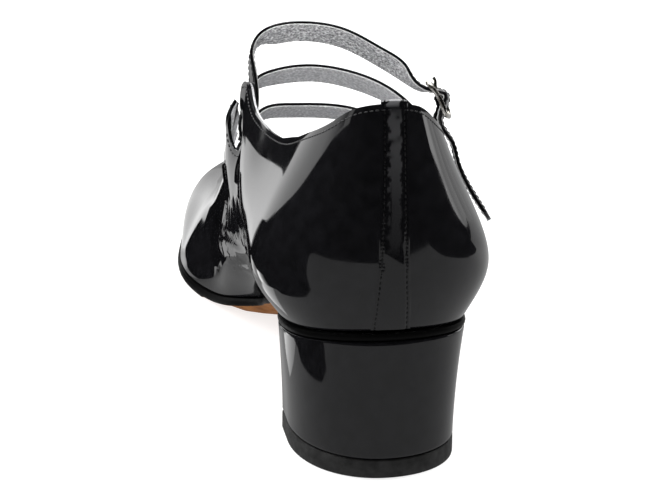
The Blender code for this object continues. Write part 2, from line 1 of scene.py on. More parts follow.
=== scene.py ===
# Right shoe of a patent leather pump with instep straps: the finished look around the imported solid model.
# Shoe sizes are in millimetres: across is x, along runs from the back of the heel to the toe, z is height.
import math

import bmesh
import bpy
import numpy as np
from mathutils import Matrix, Vector


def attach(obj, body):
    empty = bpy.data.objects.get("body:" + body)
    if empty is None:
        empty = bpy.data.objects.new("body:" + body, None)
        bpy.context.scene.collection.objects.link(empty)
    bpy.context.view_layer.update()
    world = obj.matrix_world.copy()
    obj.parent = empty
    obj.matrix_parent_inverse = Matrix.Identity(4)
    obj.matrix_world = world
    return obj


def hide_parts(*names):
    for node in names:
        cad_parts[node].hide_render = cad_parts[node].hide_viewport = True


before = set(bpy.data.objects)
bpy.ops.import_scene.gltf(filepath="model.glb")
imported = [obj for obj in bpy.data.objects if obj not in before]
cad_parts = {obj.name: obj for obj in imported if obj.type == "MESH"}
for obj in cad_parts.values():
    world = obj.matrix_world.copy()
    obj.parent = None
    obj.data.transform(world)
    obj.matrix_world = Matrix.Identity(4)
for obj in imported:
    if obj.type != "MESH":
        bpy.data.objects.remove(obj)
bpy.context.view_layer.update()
mm = 0.001
upwards = np.array([0.0, 0.0, 1.0])

# the last has the same sections as the solid model
shoe = {
    "length": 245.0, "heelCentre": 23.5, "wall": 1.8,
    "heelRound": 42.0, "toeRound": 58.0, "toeDrop": 42.0, "toeFrom": 192.0,
    "heelSquare": 2.5, "toeSquare": 2.3, "toeBoxSquare": 2.6,
    "backLevel": 68.0, "leanAbove": 0.0022, "leanBelow": 0.0085,
    "throat": 152.0, "toplineEnd": 141.0,
    "core": (25.0, 215.0, 30.0),      # a line inside the foot: from, to, height
    "heart": (0.0, 60.0, 30.0),       # a point inside the foot
    "probe": (0.4, 0.008),            # steps that find the surface's slope: along, round
}
# along, feather, bulge, inner shoulder, ridge, outer shoulder, middle, ridge x,
# then half-widths: feather, bulge, shoulder of the inner side, the same of the outer side
lastRows = np.array((
    (0, 46.0, 63, 92, 148, 92, 0.0, 0, 27.0, 34.0, 24.5, 28.0, 34.5, 24.5),
    (22, 41.8, 57, 89, 138, 89, 0.0, 0, 26.5, 34.5, 24.5, 28.4, 35.6, 24.5),
    (45, 37.4, 52, 86, 128, 86, 0.0, -2, 25.2, 34.3, 25.0, 28.2, 36.0, 25.0),
    (70, 30.5, 50, 85, 124, 84, 0.0, -5, 21.2, 31.7, 27.0, 28.5, 35.5, 26.2),
    (88, 25.8, 47, 89, 119.5, 90, 0.0, -8, 21.2, 30.3, 28.8, 29.5, 35.5, 26.0),
    (102, 20.7, 41, 90, 109.8, 90, 0.2, -9, 21.9, 29.3, 29.4, 31.5, 36.5, 26.0),
    (118, 14.4, 31.2, 78, 93.0, 78, 0.6, -7, 21.5, 32.7, 30.5, 35.0, 38.5, 26.5),
    (135, 8.6, 22.2, 62, 75.5, 62, 1.2, -5, 28.8, 33.9, 29.0, 38.5, 41.0, 27.0),
    (150, 4.7, 16.5, 45, 58.5, 45, 1.8, -5, 34.0, 35.2, 30.6, 41.0, 43.0, 29.5),
    (168, 3.4, 12.5, 36, 46, 33, 2.0, -5, 39.5, 39.8, 29.4, 42.0, 44.0, 31.0),
    (186, 3.4, 11, 29, 38, 26, 1.6, -4, 40.4, 38.6, 28.4, 41.0, 43.0, 30.0),
    (206, 4.2, 12, 24, 32.5, 23.5, -0.5, -3, 36.4, 35.8, 25.8, 39.0, 41.0, 29.0),
    (226, 6.6, 14.5, 24, 30, 24, -3.5, -2, 34.4, 33.8, 23.0, 37.0, 39.0, 28.0),
    (245, 10.5, 18, 26, 31, 26, -6.5, 0, 33.0, 35.0, 26.0, 36.0, 38.0, 28.0),
), float)
roundKnots = (-1.0, -0.78, -0.42, 0.0, 0.42, 0.78, 1.0)
# top edge: along, height
toplineRows = {
    -1: ((0, 115), (6, 112.5), (14, 107), (28, 99.5), (45, 92), (62, 88), (70, 87.3), (78, 87.6), (84, 88.4),
         (90, 90.4), (96, 92.6), (106, 90), (114, 83.5), (122, 77), (133, 63), (141, 57)),
    1: ((0, 115), (6, 112.5), (14, 107), (28, 99.5), (45, 91.5), (65, 82.5), (84, 77.0), (105, 71), (125, 60),
        (141, 53)),
}
# gaps between the tabs of the inner side: along, width, height of the round bottom; they lean to the toe
gapRows = ((107.0, 11.5, 68.0), (122.0, 7.5, 55.0))
gapLean = math.radians(22)
# the fastened strap draws its tab in, the others stand out: along, height, reach along, reach up, outwards
tabPulls = (
    (103.0, 73.5, 6.5, 7.0, -3.0),
    (117.0, 76.5, 6.5, 6.0, 1.8),
    (133.0, 59.0, 7.0, 6.5, 1.9),
    (123.0, 47.5, 11.5, 12.0, -3.0),
)


def asRow(values):
    return np.atleast_1d(np.asarray(values, float))


def splineWeights(knots, places):
    # how much each knot's value counts at each place, for a natural cubic spline
    knots = np.array(knots, float)
    count, step = len(knots), np.diff(knots)
    system, right, own = np.eye(count), np.zeros((count, count)), np.eye(count)
    for i in range(1, count - 1):
        system[i, i - 1:i + 2] = step[i - 1], 2 * (step[i - 1] + step[i]), step[i]
        right[i, i - 1:i + 2] = 6 / step[i - 1], -6 / step[i - 1] - 6 / step[i], 6 / step[i]
    bend = np.linalg.solve(system, right)
    places = asRow(places)
    i = np.clip(np.searchsorted(knots, places, side="right") - 1, 0, count - 2)
    a = (knots[i + 1] - places) / step[i]
    b = 1 - a
    weights = a[:, None] * own[i] + b[:, None] * own[i + 1]
    weights += ((a ** 3 - a) * step[i] ** 2 / 6)[:, None] * bend[i]
    weights += ((b ** 3 - b) * step[i] ** 2 / 6)[:, None] * bend[i + 1]
    return weights


def splineAt(rows, places):
    rows = np.array(rows, float)
    return splineWeights(rows[:, 0], places) @ rows[:, 1:]


def fade(part, power):
    return np.sqrt(np.maximum(0.0, 1.0 - np.clip(part, 0, 1) ** power))


def lastPoint(along, v, widthOne=False):
    # v runs from -1, the inner feather line, over the ridge at 0 to 1, the outer feather line
    along = np.clip(asRow(along), 0, shoe["length"])
    v = np.broadcast_to(np.asarray(v, float), along.shape)
    (feather, bulge, innerLevel, ridge, outerLevel, middle, ridgeX,
     featherM, bulgeM, shoulderM, featherL, bulgeL, shoulderL) = splineAt(lastRows, along).T
    width = fade((shoe["heelRound"] - along) / shoe["heelRound"], shoe["heelSquare"])
    width = width * fade((along - shoe["length"] + shoe["toeRound"]) / shoe["toeRound"], shoe["toeSquare"])
    height = fade((along - shoe["length"] + shoe["toeDrop"]) / shoe["toeDrop"], shoe["toeBoxSquare"])
    if widthOne:
        width = 1.0
    weights = splineWeights(roundKnots, v)
    across = np.stack([-featherM, -bulgeM, -shoulderM, ridgeX, shoulderL, bulgeL, featherL], 1)
    levels = np.stack([feather, bulge, innerLevel, ridge, outerLevel, bulge, feather], 1)
    x = middle + (weights * across).sum(1) * width
    z = feather + ((weights * levels).sum(1) - feather) * height
    for place, level, reach, reachUp, out in tabPulls:
        x = x - (v < 0) * out * np.exp(-((along - place) / reach) ** 2 - ((z - level) / reachUp) ** 2)
    rise = z - shoe["backLevel"]
    lean = np.where(rise > 0, shoe["leanAbove"], shoe["leanBelow"]) * rise * rise
    lean = lean * np.clip(1 - along / shoe["heelRound"], 0, None) ** 3
    return np.stack([x, along + lean - shoe["heelCentre"], z], 1)


def lastNormal(along, v):
    along = asRow(along)
    v = np.broadcast_to(np.asarray(v, float), along.shape)
    near, about = shoe["probe"]
    stepAlong = lastPoint(along + near, v) - lastPoint(along - near, v)
    stepRound = lastPoint(along, np.minimum(v + about, 1)) - lastPoint(along, np.maximum(v - about, -1))
    normal = unitRows(np.cross(stepAlong, stepRound))
    coreFrom, coreTo, coreHeight = shoe["core"]
    coreAlong = np.clip(along, coreFrom, coreTo) - shoe["heelCentre"]
    core = np.stack([0 * along, coreAlong, coreHeight + 0 * along], 1)
    flip = np.sign((normal * (lastPoint(along, v) - core)).sum(1, keepdims=True))
    return normal * np.where(flip == 0, 1, flip)


def vAtHeight(along, side, level):
    along = asRow(along)
    level = np.broadcast_to(np.asarray(level, float), along.shape)
    low, high = np.zeros(along.shape), np.ones(along.shape)
    for _ in range(32):                   # halved until it is exact
        half = (low + high) / 2
        above = lastPoint(along, side * half)[:, 2] > level
        low, high = np.where(above, half, low), np.where(above, high, half)
    return low


def vAtEdge(along, side):
    along = asRow(along)
    place = np.minimum(along, shoe["toplineEnd"])
    edge = vAtHeight(place, side, splineAt(toplineRows[side], place)[:, 0])
    run = (along - shoe["toplineEnd"]) / (shoe["throat"] - shoe["toplineEnd"])
    return edge * np.sqrt(np.clip(1 - np.clip(run, 0, 1) ** 2, 0, 1))


def heelStations(steps):
    # places along the last, closer together towards the back
    return [shoe["heelRound"] * (1 - math.cos(math.pi / 2 * i / steps)) for i in range(steps)]


def toeStations(steps):
    run = shoe["length"] - shoe["toeFrom"]
    return [shoe["toeFrom"] + run * math.sin(math.pi / 2 * i / steps) for i in range(1, steps + 1)]


def deselectAll():
    if bpy.context.object and bpy.context.object.mode != "OBJECT":
        bpy.ops.object.mode_set(mode="OBJECT")
    bpy.ops.object.select_all(action="DESELECT")


def choose(piece):
    deselectAll()
    piece.select_set(True)
    bpy.context.view_layer.objects.active = piece


def startEdit(piece):
    choose(piece)
    bpy.ops.object.mode_set(mode="EDIT")
    bpy.ops.mesh.select_all(action="SELECT")


def endEdit():
    bpy.ops.object.mode_set(mode="OBJECT")


def applyAll(piece):
    choose(piece)
    for modifier in list(piece.modifiers):
        bpy.ops.object.modifier_apply(modifier=modifier.name)


def settle(piece):
    choose(piece)
    bpy.ops.object.transform_apply(location=True, rotation=True, scale=True)


def weld(piece, distance=0.00001, outward=True, fill=False):
    startEdit(piece)
    bpy.ops.mesh.remove_doubles(threshold=distance)
    bpy.ops.mesh.dissolve_degenerate(threshold=distance / 2)
    if fill:
        bpy.ops.mesh.select_all(action="DESELECT")
        bpy.ops.mesh.select_mode(type="EDGE")
        bpy.ops.mesh.select_non_manifold(extend=False, use_wire=False, use_boundary=True,
                                         use_multi_face=False, use_non_contiguous=False, use_verts=False)
        bpy.ops.mesh.fill_holes(sides=0)
        bpy.ops.mesh.select_mode(type="VERT")
        bpy.ops.mesh.select_all(action="SELECT")
    if outward:
        bpy.ops.mesh.normals_make_consistent(inside=False)
    endEdit()


def smooth(piece, angle):
    choose(piece)
    bpy.ops.object.shade_smooth_by_angle(angle=math.radians(angle))


def faceOutward(piece):
    # turns an open sheet so that its faces look away from the foot
    startEdit(piece)
    bpy.ops.mesh.normals_make_consistent(inside=False)
    endEdit()
    heart = Vector(shoe["heart"]) * mm
    if sum(f.area * f.normal.dot(f.center - heart) for f in piece.data.polygons) < 0:
        piece.data.flip_normals()


def softenEdges(piece, width, angle, segments=3):
    soft = piece.modifiers.new("Soft edges", "BEVEL")
    soft.width = width * mm
    soft.segments = segments
    soft.limit_method = "ANGLE"
    soft.angle_limit = math.radians(angle)


def thicken(piece, thickness, rim=0.0, segments=3):
    wall = piece.modifiers.new("Wall", "SOLIDIFY")
    wall.thickness = thickness * mm
    wall.offset = -1
    wall.use_even_offset = False
    if rim:
        softenEdges(piece, rim, 60, segments)
    applyAll(piece)


def gridPiece(name, grid, loopFirst=False, loopSecond=False):
    # a grid primitive whose corners are laid on ready points, closed round in one or both ways
    columns, rows = grid.shape[0] - (not loopFirst), grid.shape[1] - (not loopSecond)
    deselectAll()
    bpy.ops.mesh.primitive_grid_add(x_subdivisions=columns, y_subdivisions=rows, size=1)
    piece = bpy.context.object
    piece.name = piece.data.name = name
    flat = np.zeros(len(piece.data.vertices) * 3)
    piece.data.vertices.foreach_get("co", flat)
    flat = flat.reshape(-1, 3) + 0.5
    i = np.rint(flat[:, 0] * columns).astype(int) % grid.shape[0]
    j = np.rint(flat[:, 1] * rows).astype(int) % grid.shape[1]
    piece.data.vertices.foreach_set("co", (grid[i, j] * mm).ravel())
    piece.data.update()
    return piece


def unitRows(rows):
    return rows / np.maximum(np.linalg.norm(rows, axis=1, keepdims=True), 1e-9)


def runLengths(points):
    # how far along a path each of its points lies
    return np.concatenate(([0], np.cumsum(np.linalg.norm(np.diff(points, axis=0), axis=1))))


def resample(points, normals, step):
    lengths = runLengths(points)
    at = np.linspace(0, lengths[-1], max(2, int(round(lengths[-1] / step)) + 1))
    both = np.concatenate([points, normals], 1)
    both = np.stack([np.interp(at, lengths, column) for column in both.T], 1)
    return both[:, :3], unitRows(both[:, 3:])


def splineAlong(points, count):
    # weights of a smooth path through the points
    lengths = runLengths(points)
    return splineWeights(lengths, np.linspace(0, lengths[-1], count))


def pathFrame(centres, normals, closed=False):
    # unit directions along a path, across its face and out of it
    if closed:
        travel = unitRows(np.roll(centres, -1, 0) - np.roll(centres, 1, 0))
    else:
        travel = unitRows(np.gradient(centres, axis=0))
    across = unitRows(np.cross(normals, travel))
    return travel, across, np.cross(travel, across)


def sweep(name, centres, normals, section, closed=False):
    # a section of (across, out) points, or one for each place, carried along a path
    _, across, out = pathFrame(centres, normals, closed)
    section = section if section.ndim == 3 else section[None]
    grid = centres[:, None] + across[:, None] * section[:, :, :1] + out[:, None] * section[:, :, 1:2]
    piece = gridPiece(name, grid, loopFirst=closed, loopSecond=True)
    weld(piece, fill=not closed)
    return piece


def roundSection(count, across, out):
    turns = np.arange(count) * 2 * math.pi / count
    return np.stack([np.cos(turns) * across, np.sin(turns) * out], 1)


def bandSection(half, low, high, corner, crown=0.0):
    # a flat section with rounded corners, its outer face slightly crowned
    small = min(corner, (high - low) / 3)
    top, bottom = np.linspace(-1, 1, 9), np.linspace(1, -1, 5)

    def bend(side, level, radius, turns):
        turns = np.radians(turns)
        return np.stack([side * (half - radius) + radius * np.cos(turns), level + radius * np.sin(turns)], 1)
    return np.concatenate([
        np.stack([top * (half - corner), high + crown * (1 - top * top)], 1),
        bend(1, high - corner, corner, (60, 30, 0)),
        bend(1, low + small, small, (-30, -60)),
        np.stack([bottom * (half - small), np.full(len(bottom), low)], 1),
        bend(-1, low + small, small, (-120, -150)),
        bend(-1, high - corner, corner, (180, 150, 120)),
    ])


def joinPieces(pieces, name):
    choose(pieces[0])
    for other in pieces[1:]:
        other.select_set(True)
    if len(pieces) > 1:
        bpy.ops.object.join()
    joined = bpy.context.object
    joined.name = joined.data.name = name
    return joined


def fromLowest(corners):
    # a face's corners from a fixed start, because the primitive's own order changes from run to run
    start = corners.index(min(corners))
    return corners[start:] + corners[:start]


def stitchRow(points, normals, pitch, length, radius):
    # one small stitch is modelled, then laid end to end along the path
    lift, flatness, fullness, bluntness = 0.05, 0.8, 1.15, 0.8
    places, facing = resample(points, normals, pitch)
    travel, across, facing = pathFrame(places, facing)
    deselectAll()
    bpy.ops.mesh.primitive_uv_sphere_add(segments=6, ring_count=6, radius=1.0)
    model = bpy.context.object
    local = np.array([v.co[:] for v in model.data.vertices])
    faces = sorted(fromLowest(list(p.vertices)) for p in model.data.polygons)
    bpy.data.objects.remove(model)
    local = np.sign(local) * np.abs(local) ** np.array([1, 1, bluntness])
    shaped = local * (radius * fullness, radius * flatness, length / 2) + (0, lift, 0)
    aside, up, ahead = shaped.T[:, None, :, None]
    corners = places[:, None] + across[:, None] * aside + facing[:, None] * up + travel[:, None] * ahead
    mesh = bpy.data.meshes.new("row")
    allFaces = [[k + i * len(local) for k in face] for i in range(len(places)) for face in faces]
    mesh.from_pydata((corners.reshape(-1, 3) * mm).tolist(), [], allFaces)
    piece = bpy.data.objects.new("row", mesh)
    bpy.context.collection.objects.link(piece)
    choose(piece)
    bpy.ops.object.shade_smooth()
    return piece


def finish(piece, slot, *materials, stands=()):
    piece.data.materials.clear()
    for material in materials:
        piece.data.materials.append(material)
    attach(piece, "root")
    if stands:
        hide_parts(*stands)


def rgba(colour):
    # one number stands for a grey
    return (*colour, 1) if isinstance(colour, tuple) else (colour, colour, colour, 1)


def setSockets(node, values):
    for name, value in values.items():
        node.inputs[name].default_value = value


def pattern(material, scale, detail=2.0, stretch=(1, 1, 1), kind="Noise"):
    nodes, links = material.node_tree.nodes, material.node_tree.links
    where = nodes.new("ShaderNodeTexCoord")
    turn = nodes.new("ShaderNodeMapping")
    node = nodes.new("ShaderNodeTex" + kind)
    setSockets(turn, {"Scale": stretch})
    setSockets(node, {"Scale": scale, "Detail": detail})
    links.new(where.outputs["Object"], turn.inputs["Vector"])
    links.new(turn.outputs["Vector"], node.inputs["Vector"])
    return node.outputs[0]


def addBump(material, height, distance, strength):
    # bumps are chained, so a material may have a broad one under a fine one
    nodes, links = material.node_tree.nodes, material.node_tree.links
    shader = nodes["Principled BSDF"]
    bump = nodes.new("ShaderNodeBump")
    setSockets(bump, {"Distance": distance, "Strength": strength})
    links.new(height, bump.inputs["Height"])
    if shader.inputs["Normal"].links:
        links.new(shader.inputs["Normal"].links[0].from_socket, bump.inputs["Normal"])
    links.new(bump.outputs["Normal"], shader.inputs["Normal"])
    links.new(bump.outputs["Normal"], shader.inputs["Coat Normal"])


def varyColour(material, value, stops):
    nodes, links = material.node_tree.nodes, material.node_tree.links
    ramp = nodes.new("ShaderNodeValToRGB")
    while len(ramp.color_ramp.elements) < len(stops):
        ramp.color_ramp.elements.new(0.5)
    for element, (place, colour) in zip(ramp.color_ramp.elements, stops):
        element.position = place
        element.color = rgba(colour)
    links.new(value, ramp.inputs["Fac"])
    links.new(ramp.outputs["Color"], nodes["Principled BSDF"].inputs["Base Color"])


def varyRoughness(material, value, low, high):
    nodes, links = material.node_tree.nodes, material.node_tree.links
    spread = nodes.new("ShaderNodeMapRange")
    setSockets(spread, {"From Min": 0.3, "From Max": 0.7, "To Min": low, "To Max": high})
    links.new(value, spread.inputs["Value"])
    links.new(spread.outputs["Result"], nodes["Principled BSDF"].inputs["Roughness"])


def attributeValue(material, name):
    node = material.node_tree.nodes.new("ShaderNodeAttribute")
    node.attribute_name = name
    return node.outputs["Fac"]


def newMaterial(name, colour, roughness, bumps=(), tint=None, wear=None, sockets=None):
    # bumps: pattern, distance, strength; tint: pattern, stops; wear: pattern, least and most roughness
    material = bpy.data.materials.new(name)
    material.use_nodes = True
    setSockets(material.node_tree.nodes["Principled BSDF"],
               {"Base Color": rgba(colour), "Roughness": roughness, **(sockets or {})})
    for look, distance, strength in bumps:
        addBump(material, pattern(material, *look), distance, strength)
    if tint:
        varyColour(material, pattern(material, *tint[0]), tint[1])
    if wear:
        varyRoughness(material, pattern(material, *wear[0]), *wear[1:])
    return material


black = (0.0035, 0.0035, 0.004)
blackTint = (240, 4.0), ((0.35, black), (0.75, (0.0063, 0.0063, 0.0072)))


def patentLeather(name, wave, tint=blackTint):
    # a broad wave under a fine grain, and a thin hard coat
    return newMaterial(name, black, 0.06, bumps=(((42, 1.0), wave, 1.0), ((1300, 2.0), 0.0000012, 1.0)),
                       tint=tint, wear=((160, 3.0), 0.035, 0.10),
                       sockets={"Coat Weight": 0.15, "Coat Roughness": 0.02})


def silverLeather(name, dark, light, sparkle):
    # fine grain, with small bright and dark flecks of the metallic finish
    return newMaterial(name, light, 0.5,
                       bumps=(((1500, 2.0, (1, 1, 1), "Voronoi"), 0.00006, 0.5), ((420, 4.0), 0.00012, 0.4)),
                       tint=((1300, 6.0), ((0.33, dark), (0.5, light), (0.68, sparkle))),
                       wear=((900, 3.0), 0.32, 0.58), sockets={"Metallic": 0.2})


def sewingThread(name, colour, roughness, stops, specular=0.5):
    return newMaterial(name, colour, roughness, bumps=(((5200, 2.0, (1, 1, 0.4)), 0.00008, 0.8),),
                       tint=((1500, 3.0), stops), sockets={"Specular IOR Level": specular})


patent = patentLeather("blackPatent", 0.00012)
patentHeel = patentLeather("blackPatentHeel", 0.00006)
patentStrap = patentLeather("blackPatentStrap", 0.00005)
patentStrip = patentLeather("blackPatentStrip", 0.0002, tint=None)
# the strip's colour comes from its shade attribute: a painted reflection, lighter between the stitch rows
varyColour(patentStrip, attributeValue(patentStrip, "shade"), ((0.0, black), (1.0, (0.3, 0.3, 0.31))))
silver = silverLeather("silverLining", (0.42, 0.42, 0.43), (0.60, 0.60, 0.61), (0.82, 0.82, 0.83))
silverBand = silverLeather("silverBandLining", (0.12, 0.12, 0.125), (0.46, 0.46, 0.47), 0.98)
silverSock = silverLeather("silverSock", (0.40, 0.40, 0.41), (0.56, 0.56, 0.57), 0.78)
# lighter silver for the lining's cut edges: partly their own lighter colour, partly a painted highlight where
# the edge catches light
silverEdge = newMaterial(
    "silverEdge", 0.72, 0.5, bumps=(((2600, 4.0), 0.0001, 0.6),),
    tint=((900, 4.0), ((0.3, 0.5), (0.6, (0.85, 0.85, 0.84)))), sockets={"Metallic": 0.15})
thread = sewingThread("blackThread", (0.012, 0.012, 0.013), 0.38,
                      ((0.3, 0.006), (0.7, (0.035, 0.035, 0.037))))
dullThread = sewingThread("dullThread", 0.005, 0.55, ((0.4, 0.003), (0.75, (0.016, 0.016, 0.017))), 0.25)
greyThread = sewingThread("greyThread", 0.55, 0.5, ((0.3, 0.3), (0.7, 0.75)))
tanSole = newMaterial(
    "tanSoleLeather", (0.24, 0.085, 0.014), 0.5, bumps=(((1700, 5.0, (1, 0.5, 1)), 0.00006, 0.6),),
    tint=((190, 7.0, (1, 0.35, 1)), ((0.25, (0.13, 0.042, 0.006)), (0.5, (0.23, 0.082, 0.013)),
                                     (0.75, (0.34, 0.135, 0.028)))),
    wear=((260, 4.0), 0.42, 0.6), sockets={"Specular IOR Level": 0.08})
soleEdge = newMaterial("soleEdgeInk", 0.002, 0.3, bumps=(((700, 4.0, (1, 1, 3)), 0.00006, 0.6),),
                       wear=((420, 3.0), 0.25, 0.42), sockets={"Specular IOR Level": 0.03})
rubber = newMaterial("mattRubber", 0.011, 0.62, bumps=(((1900, 4.0), 0.00008, 0.5),),
                     tint=((300, 4.0), ((0.35, 0.008), (0.7, 0.02))),
                     wear=((500, 3.0), 0.52, 0.72), sockets={"Specular IOR Level": 0.35})
oldSilver = newMaterial(
    "oldSilver", (0.62, 0.60, 0.55), 0.2, bumps=(((2400, 3.0, (1, 1, 4)), 0.00003, 0.5),),
    tint=((420, 6.0), ((0.34, (0.20, 0.185, 0.16)), (0.5, (0.60, 0.58, 0.53)), (0.7, (0.80, 0.78, 0.73)))),
    wear=((700, 4.0), 0.12, 0.36), sockets={"Metallic": 1.0})
print("materials ready")


# the upper is patent outside and silver inside
upperLook = {
    "patent": 1.0, "lining": 0.72, "liningGap": 0.03, "liningDrop": 0.25, "rim": 0.32, "liningRim": 0.2,
    "rows": 64, "splitRow": 44, "creaseFrom": 6, "dropFrom": 0.8,
    "bendShare": 0.64,                # how far up the side the grid bends, away from the gaps
    "plainTo": 80.0, "plainFrom": 146.0,
    # rows turned under the sole: reach inwards, drop
    "under": ((3.0, 0.1), (1.0, 0.14), (0.35, 0.1), (0.0, -0.12)), "underCore": (24.0, 216.0),
    "underWay": (1.0, 0.6, 0.0),
    "heelSteps": 34, "toeSteps": 40, "throatSteps": 14, "foreSteps": 30, "gapSteps": 16, "outerSteps": 80,
    "bodyStep": 0.8,
    "weld": 0.00002, "slimArea": 1e-10,   # in metres and square metres
}
# creases of the inner waist: start along and z, end along and z, depth, half-width
creaseRows = (
    (124.5, 53, 124, 37, 0.30, 1.1),
    (121, 50, 121.5, 35, 0.34, 0.9),
    (117, 54, 118, 36, 0.46, 0.9),
    (113.5, 50, 114, 35, 0.36, 0.8),
    (110.5, 48, 110, 37, 0.44, 0.9),
    (106.5, 53, 106, 38, 0.60, 1.0),
    (101, 55, 102, 40, 0.30, 1.5),
    (95, 58, 97, 40, 0.22, 1.8),
    (124, 35.5, 104, 37.5, 0.42, 1.1),
    (121, 26.5, 100, 30, 0.50, 0.8),
    (113, 30, 101, 32.5, 0.50, 1.1),
    (130, 34, 123, 28.5, 0.40, 0.7),
    (68, 47, 88, 44, 0.20, 1.6),
)
creaseLook = {"wander": 0.45, "wanderTurns": 5.0, "ridge": 0.4, "ridgeAt": 2.0, "ends": 0.8}


def creaseDepth(along, z, side):
    look = creaseLook
    total = np.zeros(len(along))
    for fromAlong, fromZ, toAlong, toZ, depth, half in creaseRows:
        run = np.array([toAlong - fromAlong, toZ - fromZ], float)
        length = np.linalg.norm(run)
        way = run / length
        dx, dz = along - fromAlong, z - fromZ
        t = (dx * way[0] + dz * way[1]) / length
        aside = dx * way[1] - dz * way[0] + look["wander"] * np.sin(t * look["wanderTurns"] + fromAlong)
        window = np.clip(np.sin(np.clip(t, 0, 1) * math.pi), 0, 1) ** look["ends"]
        trough = np.exp(-(aside / half) ** 2)
        ridges = np.exp(-((np.abs(aside) - look["ridgeAt"] * half) / half) ** 2)
        total += window * depth * (look["ridge"] * ridges - trough)
    return total * (side < 0)


def sideStations(side):
    # (along, gap number or -1) from the toe to the heel, closer at the ends, the throat and the gaps
    look = upperLook
    steps, opening = look["throatSteps"], shoe["throat"] - shoe["toplineEnd"]
    throat = [shoe["throat"] - opening * (i / steps) ** 2 for i in range(steps, -1, -1)]
    fore = list(np.linspace(shoe["throat"], shoe["toeFrom"], look["foreSteps"]))
    body = [(s, -1) for s in np.linspace(shoe["heelRound"], shoe["toplineEnd"], look["outerSteps"])]
    if side < 0:
        body, steps = [], look["gapSteps"]
        edges = [shoe["heelRound"]]
        for centre, width, _ in gapRows:
            edges += [centre - width / 2, centre + width / 2]
        edges.append(shoe["toplineEnd"])
        for number, (a, b) in enumerate(zip(edges, edges[1:])):
            if number % 2:
                body += [((a + b) / 2 - (b - a) / 2 * math.cos(math.pi * k / steps), (number - 1) // 2)
                         for k in range(steps + 1)]
            else:
                count = max(6, int((b - a) / look["bodyStep"]))
                body += [(a + (b - a) * k / count, -1) for k in range(count + 1)]
    ahead = throat[1:] + fore[1:] + toeStations(look["toeSteps"])
    stations = [(s, -1) for s in heelStations(look["heelSteps"])] + body + [(s, -1) for s in ahead]
    return stations[::-1]


def gapCurve(number, along):
    # the round bottom of a gap: along and height at places from one wall to the other
    centre, width, bottom = gapRows[number]
    radius = width / 2
    away = np.clip((along - centre) / radius, -1, 1)
    deep = np.sqrt(1 - away ** 2)
    return (centre + radius * (away * math.cos(gapLean) - deep * math.sin(gapLean)),
            bottom + radius - radius * (away * math.sin(gapLean) + deep * math.cos(gapLean)))


def sheetColumns(side):
    # each column of a side: where it leaves the feather line, bends at the gaps' bottoms, and ends above
    stations, plain = sideStations(side), upperLook["bendShare"]
    along, gap = np.array([s for s, _ in stations]), np.array([g for _, g in stations])
    share, shift, lean = np.full(len(along), plain), np.zeros(len(along)), np.zeros(len(along))
    if side < 0:
        knots = [(0.0, plain, 0.0, 0.0), (upperLook["plainTo"], plain, 0.0, 0.0)]
        for number, (centre, width, _) in enumerate(gapRows):
            for wall in (centre - width / 2, centre + width / 2):
                (place,), (height,) = gapCurve(number, np.array([wall]))
                level = vAtHeight([place], side, height)[0]
                knots.append((wall, (1 - level) / (1 - vAtEdge([wall], side)[0]), place - wall, 1.0))
        knots += [(upperLook["plainFrom"], plain, 0.0, 0.0), (shoe["length"], plain, 0.0, 0.0)]
        knots = np.array(knots)
        share, shift, lean = (np.interp(along, knots[:, 0], knots[:, k]) for k in (1, 2, 3))
    middleAlong = along + shift
    middle = 1 - share * (1 - vAtEdge(along, side))
    height = lastPoint(middleAlong, side * middle)[:, 2]
    topAlong = middleAlong.copy()
    for _ in range(6):                    # closes in on the leaning line
        reached = lastPoint(topAlong, side * vAtEdge(topAlong, side))[:, 2]
        topAlong = middleAlong + lean * math.tan(gapLean) * (reached - height)
    top = vAtEdge(topAlong, side)
    for number in range(len(gapRows)):
        inside = gap == number
        if inside.any():
            middleAlong[inside], height = gapCurve(number, along[inside])
            middle[inside] = vAtHeight(middleAlong[inside], side, height)
            topAlong[inside], top[inside] = middleAlong[inside], middle[inside]
    return along, middleAlong, middle, topAlong, top


def sheetPlaces(side, inward, drop, turnedUnder):
    # the grid of one side: rows run from the feather line to the top edge
    look = upperLook
    along, middleAlong, middle, topAlong, top = sheetColumns(side)
    rows, split = look["rows"], look["splitRow"]
    grid = []
    for row in range(rows + 1):
        if row <= split:
            part = row / split
            place, v = along + (middleAlong - along) * part, 1 + (middle - 1) * part
        else:
            part = (row - split) / (rows - split)
            place, v = middleAlong + (topAlong - middleAlong) * part, middle + (top - middle) * part
        point = lastPoint(place, side * v)
        depth = creaseDepth(place, point[:, 2], side) * np.clip(row / look["creaseFrom"], 0, 1)
        point = point + lastNormal(place, side * v) * (depth - inward)[:, None]
        fall = np.clip((row / rows - look["dropFrom"]) / (1 - look["dropFrom"]), 0, 1)
        grid.append(point - upwards * drop * fall)
    if turnedUnder:
        base = grid[0]
        heart = np.stack([0 * along, np.clip(along, *look["underCore"]) - shoe["heelCentre"], base[:, 2]], 1)
        inwards = unitRows((heart - base) * np.array(look["underWay"]))
        grid[:1] = [base + inwards * reach - upwards * down for reach, down in look["under"]]
    return np.stack(grid, 1)


def upperSheet(name, inward, drop, turnedUnder):
    inner = sheetPlaces(-1, inward, drop, turnedUnder)
    outer = sheetPlaces(1, inward, drop, turnedUnder)[::-1]
    piece = gridPiece(name, np.concatenate([inner, outer]))
    startEdit(piece)
    work = bmesh.from_edit_mesh(piece.data)
    slim = [f for f in work.faces if f.calc_area() < upperLook["slimArea"]]
    bmesh.ops.delete(work, geom=slim, context="FACES_ONLY")
    bmesh.update_edit_mesh(piece.data)
    endEdit()
    weld(piece, upperLook["weld"], outward=False)
    faceOutward(piece)
    return piece


